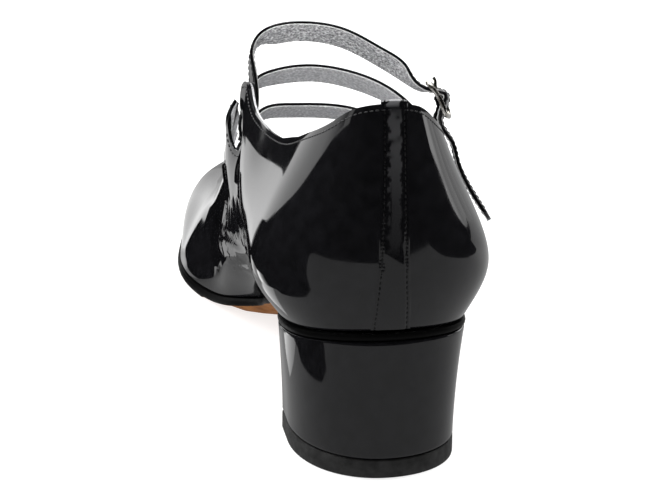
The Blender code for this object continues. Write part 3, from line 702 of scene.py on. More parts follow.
upper = upperSheet("upperPatent", 0.0, 0.0, True)
thicken(upper, upperLook["patent"], upperLook["rim"])
smooth(upper, 50)
finish(upper, "patent_leather", patent, stands=("upper",))
liningInward = upperLook["patent"] + upperLook["liningGap"]
lining = upperSheet("upperLining", liningInward, upperLook["liningDrop"], False)
thicken(lining, upperLook["lining"], upperLook["liningRim"], 2)
smooth(lining, 50)
finish(lining, "lining", silver)
print("upper and lining done", len(upper.data.polygons), len(lining.data.polygons))


# the row of stitches below the top edge
edgeLook = {"inset": 1.7, "pitch": 1.75, "length": 1.25, "radius": 0.21, "step": 0.4, "clear": 0.93}


def edgePath(side):
    # the top edge from the throat's front to the heel, round the gaps, with the surface normals
    along, _, _, topAlong, top = sheetColumns(side)
    keep = along <= shoe["throat"]
    return lastPoint(topAlong, side * top)[keep], lastNormal(topAlong, side * top)[keep]


def insetPath(points, normals, inset):
    # the same path moved into the leather, without the knots that sharp corners would tie
    fine, facing = resample(points, normals, edgeLook["step"])
    inward = pathFrame(fine, facing)[1]
    if inward[:, 2].mean() > 0:
        inward = -inward
    moved = fine + inward * inset
    near = np.linalg.norm(moved[:, None, :] - fine[None, :, :], axis=2).min(1)
    keep = near > inset * edgeLook["clear"]
    return moved[keep], facing[keep]


stitches = []
for side in (-1, 1):
    row, rowNormals = insetPath(*edgePath(side), edgeLook["inset"])
    stitches.append(stitchRow(row, rowNormals, edgeLook["pitch"], edgeLook["length"], edgeLook["radius"]))
finish(joinPieces(stitches, "toplineStitches"), "patent_leather", thread)
print("top-line stitched")


# the back strip is folded over the top edge
backStrip = {
    "x": 1.5, "raise": 0.24, "margin": 1.1, "foldTurn": 0.12, "foldDown": 10.0, "justBelow": 0.985,
    "groove": 0.195, "grooveHalf": 0.42, "pucker": 0.1,
    "pitch": 1.75, "stitch": (1.25, 0.24), "threadDepth": 0.3, "stitchRun": (0.012, 1.30, 500),
    "thickness": 0.12, "softEdge": 0.7, "rim": 0.02, "sunk": 0.03, "wave": 0.05, "waves": 31.0,
    "waveSkew": 0.7, "from": 0.004, "run": 1.9, "low": 46.0, "high": 115.0, "columns": 44, "steps": 250,
    # height, half the distance between the two stitch rows
    "rows": ((40, 5.0), (48, 4.75), (70, 3.75), (90, 3.35), (104, 3.0), (118, 2.85)),
    # height, lightness of the painted reflection in the middle, with a thin painted highlight along the fold
    # at the top
    "reflectionLevels": ((70, 0), (74, 0.008), (86, 0.014), (98, 0.03), (107, 0.04), (112, 0.035), (113.4, 0.01),
              (114.6, 0.0), (115.0, 0.11)),
    # places the painted reflection misses: across, height, half width, half height
    "notches": ((-1.6, 104.3, 1.6, 0.7), (1.2, 104.9, 0.9, 0.5), (-1.9, 100.0, 0.9, 0.6),
                (-1.2, 84.0, 0.22, 7.0), (0.9, 111.4, 0.8, 0.7)),
    # sides of the painted reflection: place, way inwards, then swing, turns and start of a broad and a fine
    # wave
    "reflectionSides": ((-1.9, 1, 0.5, 1.3, 0, 0.35, 3.1, 1), (1.9, -1, 0.3, 0.9, 2, 0.2, 4.3, 0)),
    "reflectionSoft": 0.3, "lightest": 0.3,
}


def backAlong(x, v):
    # how far along the last a point of the back lies, from its place across
    side = np.where(x < 0, -1.0, 1.0)
    along = np.full(len(x), 0.3)
    for _ in range(4):                    # closes in on the place
        wide = lastPoint(along, side * v, widthOne=True)[:, 0]
        share = np.clip(x / wide, 0, 0.95)
        along = shoe["heelRound"] * (1 - (1 - share ** 2) ** (1 / shoe["heelSquare"]))
    return along, side


def backSurface(x, part):
    # part 0 to 1 goes up the outside, and past 1 it stays at the top edge
    v = 1 + (vAtEdge(np.zeros(len(x)), 1) - 1) * np.clip(part, 0, 1)
    along, side = backAlong(x, v)
    return lastPoint(along, side * v), lastNormal(along, side * v)


def stripPlace(across, part, raised):
    # past part 1 the strip turns over the edge, then runs down the inside
    look = backStrip
    x = look["x"] + across
    point, normal = backSurface(x, part)
    upward = unitRows(point - backSurface(x, np.full(len(x), look["justBelow"]))[0])
    heart = point - normal * (shoe["wall"] / 2)
    turn = (np.clip((part - 1) / look["foldTurn"], 0, 1) * math.pi)[:, None]
    down = np.clip((part - 1 - look["foldTurn"]) / (1 - look["foldTurn"]), 0, 1) * look["foldDown"]
    radius = (shoe["wall"] / 2 + raised)[:, None]
    folded = heart + normal * radius * np.cos(turn) + upward * (radius * np.sin(turn) - down[:, None])
    return folded, normal * np.cos(turn) + upward * np.sin(turn)


def stripHalf(part):
    height = backStrip["low"] + (backStrip["high"] - backStrip["low"]) * np.clip(part, 0, 1)
    return splineAt(backStrip["rows"], height)[:, 0]


def stripPaintedReflection(places):
    # painted reflection: the folded leather is painted lighter between the stitch rows, most of all near the
    # top, and a thin painted highlight runs along the fold
    look = backStrip
    x, z = places[:, 0] - look["x"], places[:, 2]
    level = np.interp(z, *np.array(look["reflectionLevels"]).T)
    for place, way, first, turns, start, second, fineTurns, fineStart in look["reflectionSides"]:
        side = place + first * np.sin(z * turns + start) + second * np.sin(z * fineTurns + fineStart)
        level = level * np.clip((x - side) * way / look["reflectionSoft"], 0, 1)
    for across, height, wide, tall in look["notches"]:
        level = level * (1 - np.exp(-((x - across) / wide) ** 2 - ((z - height) / tall) ** 2))
    return np.clip(level / look["lightest"], 0, 1)


def setAttribute(piece, name, valueAt):
    # a value on each corner, from its place
    places = np.empty(len(piece.data.vertices) * 3)
    piece.data.vertices.foreach_get("co", places)
    layer = piece.data.attributes.new(name, "FLOAT", "POINT")
    layer.data.foreach_set("value", valueAt(places.reshape(-1, 3) / mm).astype(np.float32))


def makeBackStrip():
    look = backStrip
    count = (look["columns"] + 1, look["steps"] + 1)
    a, b = np.meshgrid(np.linspace(-1, 1, count[0]), np.linspace(0, 1, count[1]), indexing="ij")
    part = look["from"] + b.ravel() * look["run"]
    half = stripHalf(part)
    full = half + look["margin"]
    across = a.ravel() * full
    fromEdge = full - np.abs(across)
    body = look["raise"] * (0.5 - 0.5 * np.cos(math.pi * np.clip(fromEdge / look["softEdge"], 0, 1)))
    stitchLine = np.exp(-((np.abs(across) - half) / look["grooveHalf"]) ** 2)
    beat = 0.5 + 0.5 * np.cos(2 * math.pi * part * (look["high"] - look["low"]) / look["pitch"])
    raised = body - stitchLine * (look["groove"] + look["pucker"] * beat)
    raised = raised + look["wave"] * np.sin(part * look["waves"] + across * look["waveSkew"])
    raised = np.where(fromEdge < look["rim"], -look["sunk"], raised)
    strip = gridPiece("backStrip", stripPlace(across, part, raised)[0].reshape(*count, 3))
    faceOutward(strip)
    thicken(strip, look["thickness"])
    smooth(strip, 60)
    finish(strip, "patent_leather", patentStrip)
    # the shade attribute carries the strip's painted reflection and painted highlight
    setAttribute(strip, "shade", stripPaintedReflection)


makeBackStrip()
stitches = []
for way in (-1, 1):
    part = np.linspace(*backStrip["stitchRun"])
    depth = np.full(len(part), backStrip["raise"] - backStrip["threadDepth"])
    points, normals = stripPlace(way * stripHalf(part), part, depth)
    stitches.append(stitchRow(points, normals, backStrip["pitch"], *backStrip["stitch"]))
finish(joinPieces(stitches, "backStripStitches"), "patent_leather", dullThread)
print("back strip done")


strapLook = {
    "width": 10.5, "thickness": 1.3, "patent": 1.0, "corner": 0.28, "crown": 0.12, "clear": 1.3, "tip": 4.5,
    "tipRound": 2.2, "tipDrawn": 0.985, "liningInset": 0.12, "liningGap": 0.01, "liningCorner": 0.14,
    "step": 0.9,
    # stitches: distance from the edge, pitch; then length and radius of the outer and of the lining's
    "stitchInset": 1.15, "pitch": 1.85, "stitch": (1.3, 0.2), "liningStitch": (1.2, 0.16), "proud": 0.02,
    "stitchedShare": 0.97, "edgeFacing": 0.6,
}
# middle lines from the inner side to the outer side: across, along, height, tilt of the band in degrees
straps = {
    "strap_instep": dict(clear=1.3, root=((96.5, 78.0), (100.0, 87.0)), rows=(
        (-26.2, 103.2, 95.5, 22), (-25.6, 103.8, 102.0, 35), (-21.4, 102.8, 105.8, 44),
        (-11.0, 100.8, 108.0, 47), (1.0, 97.6, 106.4, 47), (11.8, 93.0, 101.4, 46), (19.0, 89.0, 97.0, 40))),
    "strap_middle": dict(clear=2.8, root=((114.5, 68.0), (117.6, 76.0)),
                         end=((103.5, 70.0), (103.5, 64.0)), rows=(
        (-24.7, 120.1, 82.4, 24), (-22.8, 120.9, 84.8, 36), (-17.0, 121.8, 86.8, 42), (-5.0, 121.0, 88.0, 43),
        (7.0, 117.0, 86.6, 43), (16.5, 111.5, 83.8, 40), (23.5, 107.0, 79.5, 30))),
    "strap_front": dict(clear=2.2, root=((133.0, 51.0), (135.8, 60.5)),
                        end=((129.0, 56.5), (129.0, 51.0)), rows=(
        (-21.9, 136.6, 65.4, 30), (-19.2, 138.0, 68.6, 36), (-10.0, 139.0, 70.0, 39), (3.0, 137.5, 69.8, 39),
        (14.0, 134.5, 68.0, 37), (22.5, 131.5, 63.5, 30))),
}
buckle = {
    "centre": (28.6, 59.0, 90.4), "down": (0.44, -0.42, -0.79), "out": (0.86, -0.05, 0.5),
    "pegSides": 20, "pegLength": 4.0,
    "length": 11.2, "width": 14.4, "wire": 1.8, "corner": 2.0, "bow": 0.9, "pin": 1.3, "clear": 1.1,
    "holes": (-10.6, -2.7), "holesOut": -1.0, "tailHoles": (7.5, 15.0, 22.5), "hole": 0.85,
    "tail": ((31.9, 78.2, 78.6), (33.5, 77.0, 73.0), (35.6, 76.0, 67.5), (38.6, 75.0, 62.0),
             (41.5, 74.0, 57.4), (43.5, 73.0, 54.0)),
    "tailFacing": (0.93, -0.05, 0.36),
    "tailFrom": -2.4, "cornerSteps": 8, "frameSides": 14, "frameSteps": 120, "flatness": 0.84, "sunk": 0.15,
    "barOut": 0.55, "bar": 0.72, "barSteps": 12, "barSides": 12,
    # the pin's middle line: down, out; then its slimmest share
    "pinLine": ((0.9, 0.9), (-0.2, 1.55), (-1.3, 1.2), (-2.6, 0.9), (-4.2, 1.15), (-5.6, 1.85), (-6.7, 1.9)),
    "pinSlim": 0.72, "pinSteps": 40, "pinSides": 12,
    # the pin's loop round the bar: radius, half thickness, half width, corner
    "loop": (1.28, 0.42, 0.7, 0.2), "loopSteps": 32,
}
buckleDown = np.array(buckle["down"]) / np.linalg.norm(buckle["down"])
buckleOut = np.array(buckle["out"]) - buckleDown * float(np.array(buckle["out"]) @ buckleDown)
buckleOut = buckleOut / np.linalg.norm(buckleOut)
buckleAcross = np.cross(buckleOut, buckleDown)


def atBuckle(down=0.0, out=0.0, across=0.0):
    return np.array(buckle["centre"]) + buckleDown * down + buckleOut * out + buckleAcross * across


def insideWall(along, side, level, clear):
    # a point of a band's middle, that far inside the upper's wall
    v = side * vAtHeight([along], side, level)
    normal = lastNormal([along], v)[0]
    return lastPoint([along], v)[0] - normal * (shoe["wall"] + clear + strapLook["thickness"] / 2), normal


def strapGuide(root, rows, clear, end=None):
    middle = [np.array([x, along - shoe["heelCentre"], z]) for x, along, z, _ in rows]
    first = [insideWall(along, -1, level, clear) for along, level in root]
    last = [insideWall(along, 1, level, strapLook["clear"]) for along, level in end] if end else []
    line = [p for p, _ in first] + middle + [p for p, _ in last]
    facing = [n for _, n in first]
    for i, (_, _, _, tilt) in enumerate(rows):
        travel = line[min(i + 3, len(line) - 1)] - line[i + 1]
        across = np.array([0.0, math.cos(math.radians(tilt)), -math.sin(math.radians(tilt))])
        normal = np.cross(travel, across)
        facing.append(normal / np.linalg.norm(normal))
    return line, facing + [n for _, n in last]


def strapPath(name):
    line, facing = strapGuide(**straps[name])
    if name == "strap_instep":
        clear = buckle["wire"] / 2 + buckle["clear"] + strapLook["thickness"] / 2
        half = buckle["length"] / 2
        line += [atBuckle(-half, -clear), atBuckle(0.0, clear), atBuckle(half, -clear)]
        line += [np.array([x, along - shoe["heelCentre"], z]) for x, along, z in buckle["tail"]]
        facing += [buckleOut] * 3 + [np.array(buckle["tailFacing"])] * len(buckle["tail"])
    weights = splineAlong(line, int(runLengths(line)[-1] / strapLook["step"]) + 1)
    return weights @ np.array(line), unitRows(weights @ np.array(facing))


def tipShare(centres):
    # width along the band, drawn in at a round tip
    away = np.arange(len(centres))[::-1] * np.linalg.norm(centres[1] - centres[0])
    drawn = np.clip(1 - away / strapLook["tip"], 0, strapLook["tipDrawn"]) ** strapLook["tipRound"]
    return np.sqrt(np.clip(1 - drawn, 0, 1))


def punch(piece, cutter):
    cut = piece.modifiers.new("Holes", "BOOLEAN")
    cut.operation = "DIFFERENCE"
    cut.object = cutter
    cut.solver = "EXACT"
    applyAll(piece)


def nearest(centres, place):
    return int(np.argmin(np.linalg.norm(centres - place, axis=1)))


def holePegs(centres, normals):
    # a short peg at each hole, along the band's normal
    after = nearest(centres, atBuckle(buckle["length"] / 2, buckle["tailFrom"]))
    run = runLengths(centres[after:])
    holes = [nearest(centres, atBuckle(down, buckle["holesOut"])) for down in buckle["holes"]]
    holes += [after + int(np.argmin(np.abs(run - place))) for place in buckle["tailHoles"]]
    travel, across, out = pathFrame(centres, normals)
    pegs = []
    for i in holes:
        deselectAll()
        bpy.ops.mesh.primitive_cylinder_add(vertices=buckle["pegSides"], radius=buckle["hole"] * mm,
                                            depth=buckle["pegLength"] * mm)
        peg = bpy.context.object
        turn = Matrix([(across[i][k], travel[i][k], out[i][k]) for k in range(3)])
        peg.matrix_world = Matrix.Translation(Vector(centres[i] * mm)) @ turn.to_4x4()
        settle(peg)
        pegs.append(peg)
    return joinPieces(pegs, "holePegs")


def makeStrap(name, title):
    look = strapLook
    centres, normals = strapPath(name)
    buckled = name == "strap_instep"
    half, thick = look["width"] / 2, look["thickness"] / 2
    outer = bandSection(half, thick - look["patent"], thick, look["corner"], look["crown"])
    inner = bandSection(half - look["liningInset"], -thick, thick - look["patent"] - look["liningGap"],
                        look["liningCorner"])
    share = tipShare(centres) if buckled else np.ones(len(centres))
    scale = np.stack([share, np.ones(len(share))], 1)[:, None, :]
    patentBand = sweep(title + "Patent", centres, normals, outer[None] * scale)
    liningBand = sweep(title + "Lining", centres, normals, inner[None] * scale)
    if buckled:
        pegs = holePegs(centres, normals)
        punch(patentBand, pegs)
        punch(liningBand, pegs)
        bpy.data.objects.remove(pegs)
    smooth(patentBand, 35)
    smooth(liningBand, 35)
    finish(patentBand, "patent_leather", patentStrap, stands=(name,))
    finish(liningBand, "lining", silverBand if buckled else silver, silverEdge)
    # the lining's side faces take the lighter edge silver, which is partly a painted highlight
    _, across, out = pathFrame(centres, normals)
    for face in liningBand.data.polygons:
        i = nearest(centres * mm, np.array(face.center))
        if abs(float(np.array(face.normal) @ across[i])) > look["edgeFacing"]:
            face.material_index = 1
    return centres, across, out, share


strapStitches, liningStitches = [], []
for name in straps:
    centres, across, out, share = makeStrap(name, name[len("strap_"):] + "Strap")
    on = share > strapLook["stitchedShare"]
    face = out[on] * (strapLook["thickness"] / 2 + strapLook["proud"])
    pitch, reach = strapLook["pitch"], strapLook["width"] / 2 - strapLook["stitchInset"]
    for way in (-1, 1):
        line = (centres + across * way * reach)[on]
        strapStitches.append(stitchRow(line + face, out[on], pitch, *strapLook["stitch"]))
        liningStitches.append(stitchRow(line - face, -out[on], pitch, *strapLook["liningStitch"]))
finish(joinPieces(strapStitches, "strapStitches"), "patent_leather", thread)
finish(joinPieces(liningStitches, "strapLiningStitches"), "lining", greyThread)
print("straps done")


def makeBuckle():
    look = buckle
    halfDown, halfAcross, corner = look["length"] / 2, look["width"] / 2, look["corner"]
    points, turns = [], look["cornerSteps"]
    for turn in range(4):
        down = (halfDown - corner) * (1 if turn in (0, 3) else -1)
        aside = (halfAcross - corner) * (1 if turn in (0, 1) else -1)
        for step in range(turns + 1):
            angle = math.pi / 2 * (turn + step / turns)
            points.append((down + corner * math.cos(angle), aside + corner * math.sin(angle)))
    points = np.array(points + points[:1])
    lengths = runLengths(points)
    at = np.linspace(0, lengths[-1], look["frameSteps"] + 1)[:-1]
    downs, asides = np.interp(at, lengths, points[:, 0]), np.interp(at, lengths, points[:, 1])
    bow = look["bow"] * (1 - (downs / halfDown) ** 2) - look["sunk"]
    path = np.array([atBuckle(d, o, a) for d, o, a in zip(downs, bow, asides)])
    wire = roundSection(look["frameSides"], look["wire"] / 2, look["wire"] / 2 * look["flatness"])
    ring = sweep("buckleFrame", path, np.tile(buckleOut, (len(path), 1)), wire, closed=True)
    places = np.linspace(-halfAcross, halfAcross, look["barSteps"])
    barLine = np.array([atBuckle(0, look["barOut"], a) for a in places])
    bar = sweep("bar", barLine, np.tile(buckleOut, (len(barLine), 1)),
                roundSection(look["barSides"], look["bar"], look["bar"]))
    ring = joinPieces([ring, bar], "buckleFrame")
    smooth(ring, 60)
    finish(ring, "buckle_metal", oldSilver, stands=("buckle_frame",))
    steps = look["pinSteps"]
    guide = np.array([atBuckle(*place) for place in look["pinLine"]])
    slim = np.linspace(1.0, look["pinSlim"], steps)[:, None, None]
    pin = sweep("bucklePin", splineAlong(guide, steps) @ guide, np.tile(buckleAcross, (steps, 1)),
                roundSection(look["pinSides"], look["pin"] / 2, look["pin"] / 2)[None] * slim)
    radius, halfThick, halfWide, softCorner = look["loop"]
    around = roundSection(look["loopSteps"], radius, radius)
    loop = np.array([atBuckle(down, look["barOut"] + out) for down, out in around])
    collar = sweep("collar", loop, np.tile(buckleAcross, (len(loop), 1)),
                   bandSection(halfThick, -halfWide, halfWide, softCorner), closed=True)
    pin = joinPieces([pin, collar], "bucklePin")
    smooth(pin, 50)
    finish(pin, "buckle_metal", oldSilver, stands=("buckle_pin",))


stay = {
    "width": 7.5, "thickness": 0.75, "corner": 0.22, "crown": 0.05, "steps": 90,
    "along": 84.0, "levels": (66.0, 70.0, 74.0), "clear": -0.15, "endLevel": 72.5, "endClear": 1.25,
    # the fold round the bar: down, out
    "wrap": ((5.6, -5.2), (3.4, -2.6), (1.4, -0.8), (0.0, -0.65), (-0.9, -0.25), (-1.2, 0.55), (-0.85, 1.4),
             (0.0, 1.7), (1.0, 1.3), (2.2, -0.55), (3.9, -2.3), (5.9, -4.5)),
    # stitches: distance from the edge, first and last step, pitch, length, radius
    "stitchInset": 1.0, "stitched": (6, 80), "stitch": (1.7, 1.2, 0.2),
}


def makeStay():
    look = stay
    line = [insideWall(look["along"], 1, level, look["clear"])[0] for level in look["levels"]]
    line += [atBuckle(down, out) for down, out in look["wrap"]]
    line.append(insideWall(look["along"], 1, look["endLevel"], look["endClear"])[0])
    centres = splineAlong(line, look["steps"]) @ np.array(line)
    travel = unitRows(np.gradient(centres, axis=0))
    normals = unitRows(np.cross(travel, buckleAcross))
    thick = look["thickness"] / 2
    piece = sweep("buckleStay", centres, normals,
                  bandSection(look["width"] / 2, -thick, thick, look["corner"], look["crown"]))
    smooth(piece, 40)
    finish(piece, "patent_leather", patentStrap, stands=("buckle_stay",))
    _, across, out = pathFrame(centres, normals)
    on = slice(*look["stitched"])
    rows = []
    for way in (-1, 1):
        row = centres + across * way * (look["width"] / 2 - look["stitchInset"])
        for face in (-1, 1):
            rows.append(stitchRow((row + out * face * thick)[on], (out * face)[on], *look["stitch"]))
    finish(joinPieces(rows, "stayStitches"), "patent_leather", thread)


makeBuckle()
makeStay()
print("buckle and stay done")


heel = {
    "breast": 47.0, "breastGround": 45.0, "backGround": 2.0, "halfGround": 24.3, "bend": {-1: 1.2, 1: 1.4},
    "flare": 1.5, "margin": 0.6, "topPiece": 5.7, "gap": 0.3, "edge": 0.7, "rubberEdge": 0.45, "hollow": 0.9,
    "levels": 30, "steps": 40, "breastSteps": 16, "weld": 0.00002,
}
sole = {
    "fore": 3.0, "waist": 2.2, "waistEnd": 95.0, "taper": 45.0, "margin": 0.8, "gap": 0.3,
    "flat": (158.0, 190.0), "shadedSeat": 47.0, "inkedFrom": -0.6, "columns": 16,
    "belly": 4.4, "bellyPlace": 133.0, "bellyReach": 22.0, "bellyPower": 0.5, "lowest": 0.02,
    # the rounded edge: reach outwards, share of the thickness
    "profile": ((-2.4, 0.0), (-1.0, 0.0), (-0.45, 0.06), (-0.12, 0.25), (0.0, 0.5), (-0.1, 0.78),
                (-0.35, 0.96), (-0.9, 1.0), (-2.4, 1.0)),
    "stations": (22, 90, 30),         # steps of the outline: back, middle, toe
    "weld": 0.00003,
}
insole = {"inset": 2.6, "thickness": 2.0, "crown": 0.5, "crownRound": 0.6, "bottomGap": 0.1, "edge": 0.5,
          "columns": 24}


def featherAt(along):
    return splineAt(lastRows[:, :2], np.clip(along, 0, shoe["length"]))[:, 0]


def soleTop(along):
    return featherAt(along) - sole["gap"]


def soleBottom(along):
    along = np.atleast_1d(np.asarray(along, float))
    part = np.clip((along - sole["waistEnd"]) / sole["taper"], 0, 1)
    depth = sole["waist"] + (sole["fore"] - sole["waist"]) * part * part * (3 - 2 * part)
    low = np.maximum(soleTop(along) - depth, 0)
    return np.where((along >= sole["flat"][0]) & (along <= sole["flat"][1]), 0, low)


def heelRing(part):
    # the block's outline, from the top piece at part 0 to the seat at part 1
    steps, flare = heel["steps"], part ** heel["flare"]
    ring = []
    for step in range(-steps, steps + 1):
        side = -1 if step < 0 else 1
        turn = math.pi / 2 * abs(step) / steps
        seat = lastPoint([heel["breast"] * (1 - math.cos(turn))], side)[0]
        outward = np.array([math.sin(turn) * side, -math.cos(turn)])
        top = np.array([seat[0], seat[1] + shoe["heelCentre"]]) + heel["margin"] * outward
        across = side * heel["halfGround"] * math.sin(min(math.pi / 2, heel["bend"][side] * turn))
        reach = (heel["breastGround"] - heel["backGround"]) * (1 - math.cos(turn))
        ground = np.array([across, heel["backGround"] + reach])
        ring.append(ground + (top - ground) * flare)
    first, last = ring[0], ring[-1]
    for k in range(1, heel["breastSteps"]):      # the breast, slightly hollow
        t = k / heel["breastSteps"]
        hollow = heel["hollow"] * part * math.sin(math.pi * t)
        ring.append(last + (first - last) * t - np.array([0, hollow]))
    return np.array(ring)


def levelRing(ring, z):
    return np.stack([ring[:, 0], ring[:, 1] - shoe["heelCentre"], z + 0 * ring[:, 0]], 1)


def heelLevel(part):
    bottom = heel["topPiece"] + heel["gap"]
    top = soleBottom(heelRing(1.0)[:, 1]) - heel["gap"]
    return levelRing(heelRing(part), bottom + (top - bottom) * part)


def ringBlock(name, rings, edge):
    # rings on levels, closed above and below, with softened edges
    piece = gridPiece(name, np.stack(rings, 1), loopFirst=True)
    weld(piece, heel["weld"], fill=True)
    softenEdges(piece, edge, 40)
    applyAll(piece)
    smooth(piece, 50)
    return piece


block = ringBlock("heelBlock", [heelLevel(part) for part in np.linspace(0, 1, heel["levels"])], heel["edge"])
finish(block, "heel_cover", patentHeel, stands=("heel_block",))
rubberRings = [levelRing(heelRing(0.0), heel["topPiece"] * share) for share in (0.0, 0.5, 1.0)]
topPiece = ringBlock("heelTopPiece", rubberRings, heel["rubberEdge"])
finish(topPiece, "top_piece", rubber, stands=("heel_top_piece",))


def soleOutline(margin):
    # the plan outline at the feather line moved outwards: inner and outer points at the same stations
    back, middle, toe = sole["stations"]
    rows = np.array(heelStations(back) + list(np.linspace(shoe["heelRound"], shoe["toeFrom"], middle))
                    + toeStations(toe))
    loop = np.concatenate([lastPoint(rows, -1), lastPoint(rows[1:-1][::-1], 1)])
    direction = np.roll(loop, -1, 0) - np.roll(loop, 1, 0)
    outward = unitRows(np.stack([-direction[:, 1], direction[:, 0], 0 * direction[:, 0]], 1))
    return splitLoop(loop + margin * outward)


def splitLoop(loop):
    # a closed outline as an inner and an outer side, which share its two ends
    count = len(loop) // 2 + 1
    return loop[:count], np.concatenate([loop[:1], loop[count:][::-1], loop[count - 1:count]])


def acrossGrid(inner, outer, columns):
    # rows of points from the inner to the outer side, with how far along and how far across each lies
    share = np.linspace(0, 1, columns + 1) + np.zeros((len(inner), 1))
    grid = inner[:, None] + (outer - inner)[:, None] * share[:, :, None]
    return grid, grid[:, :, 1] + shoe["heelCentre"], share


def overGrid(function, along):
    return function(along.ravel()).reshape(along.shape)


def makeOutsole():
    look = sole
    rings = []
    for offset, share in look["profile"]:
        inner, outer = soleOutline(look["margin"] + offset)
        ring = np.concatenate([inner, outer[1:-1][::-1]])
        along = ring[:, 1] + shoe["heelCentre"]
        low, high = soleBottom(along), soleTop(along)
        ring[:, 2] = low + (high - low) * share
        rings.append(ring)
    parts = [gridPiece("outsole", np.stack(rings, 1), loopFirst=True)]
    for ring in (rings[0], rings[-1]):
        grid, along, share = acrossGrid(*splitLoop(ring), look["columns"])
        grid[:, :, 2] = overGrid(soleTop, along)
        if ring is rings[0]:              # the underside is rounder where the arch comes down to the ball
            bulge = look["belly"] * np.exp(-((along - look["bellyPlace"]) / look["bellyReach"]) ** 2)
            bulge = bulge * (4 * share * (1 - share)) ** look["bellyPower"]
            low = overGrid(soleBottom, along)
            grid[:, :, 2] = np.maximum(low - bulge, np.minimum(low, look["lowest"]))
        parts.append(gridPiece("face", grid))
    piece = joinPieces(parts, "outsole")
    weld(piece, look["weld"])
    smooth(piece, 45)
    finish(piece, "sole_leather", tanSole, soleEdge, stands=("outsole",))
    # edge faces take the black edge ink; the underside under the heel seat is made black too, as painted
    # shade in the gap above the heel block
    for face in piece.data.polygons:
        if face.normal.z > look["inkedFrom"] or face.center.y / mm + shoe["heelCentre"] < look["shadedSeat"]:
            face.material_index = 1


def makeInsole():
    look = insole
    inner, outer = soleOutline(-look["inset"])
    grid, along, share = acrossGrid(inner[1:-1], outer[1:-1], look["columns"])
    crown = look["crown"] * np.abs(np.sin(math.pi * share)) ** look["crownRound"]
    grid[:, :, 2] = overGrid(featherAt, along) + look["thickness"] + crown
    piece = gridPiece("insole", grid)
    faceOutward(piece)
    if sum(f.normal.z for f in piece.data.polygons) < 0:
        piece.data.flip_normals()
    thicken(piece, look["thickness"] - look["bottomGap"], look["edge"])
    smooth(piece, 50)
    finish(piece, "lining", silverSock, stands=("insole",))


makeOutsole()
makeInsole()
print("heel and sole done")


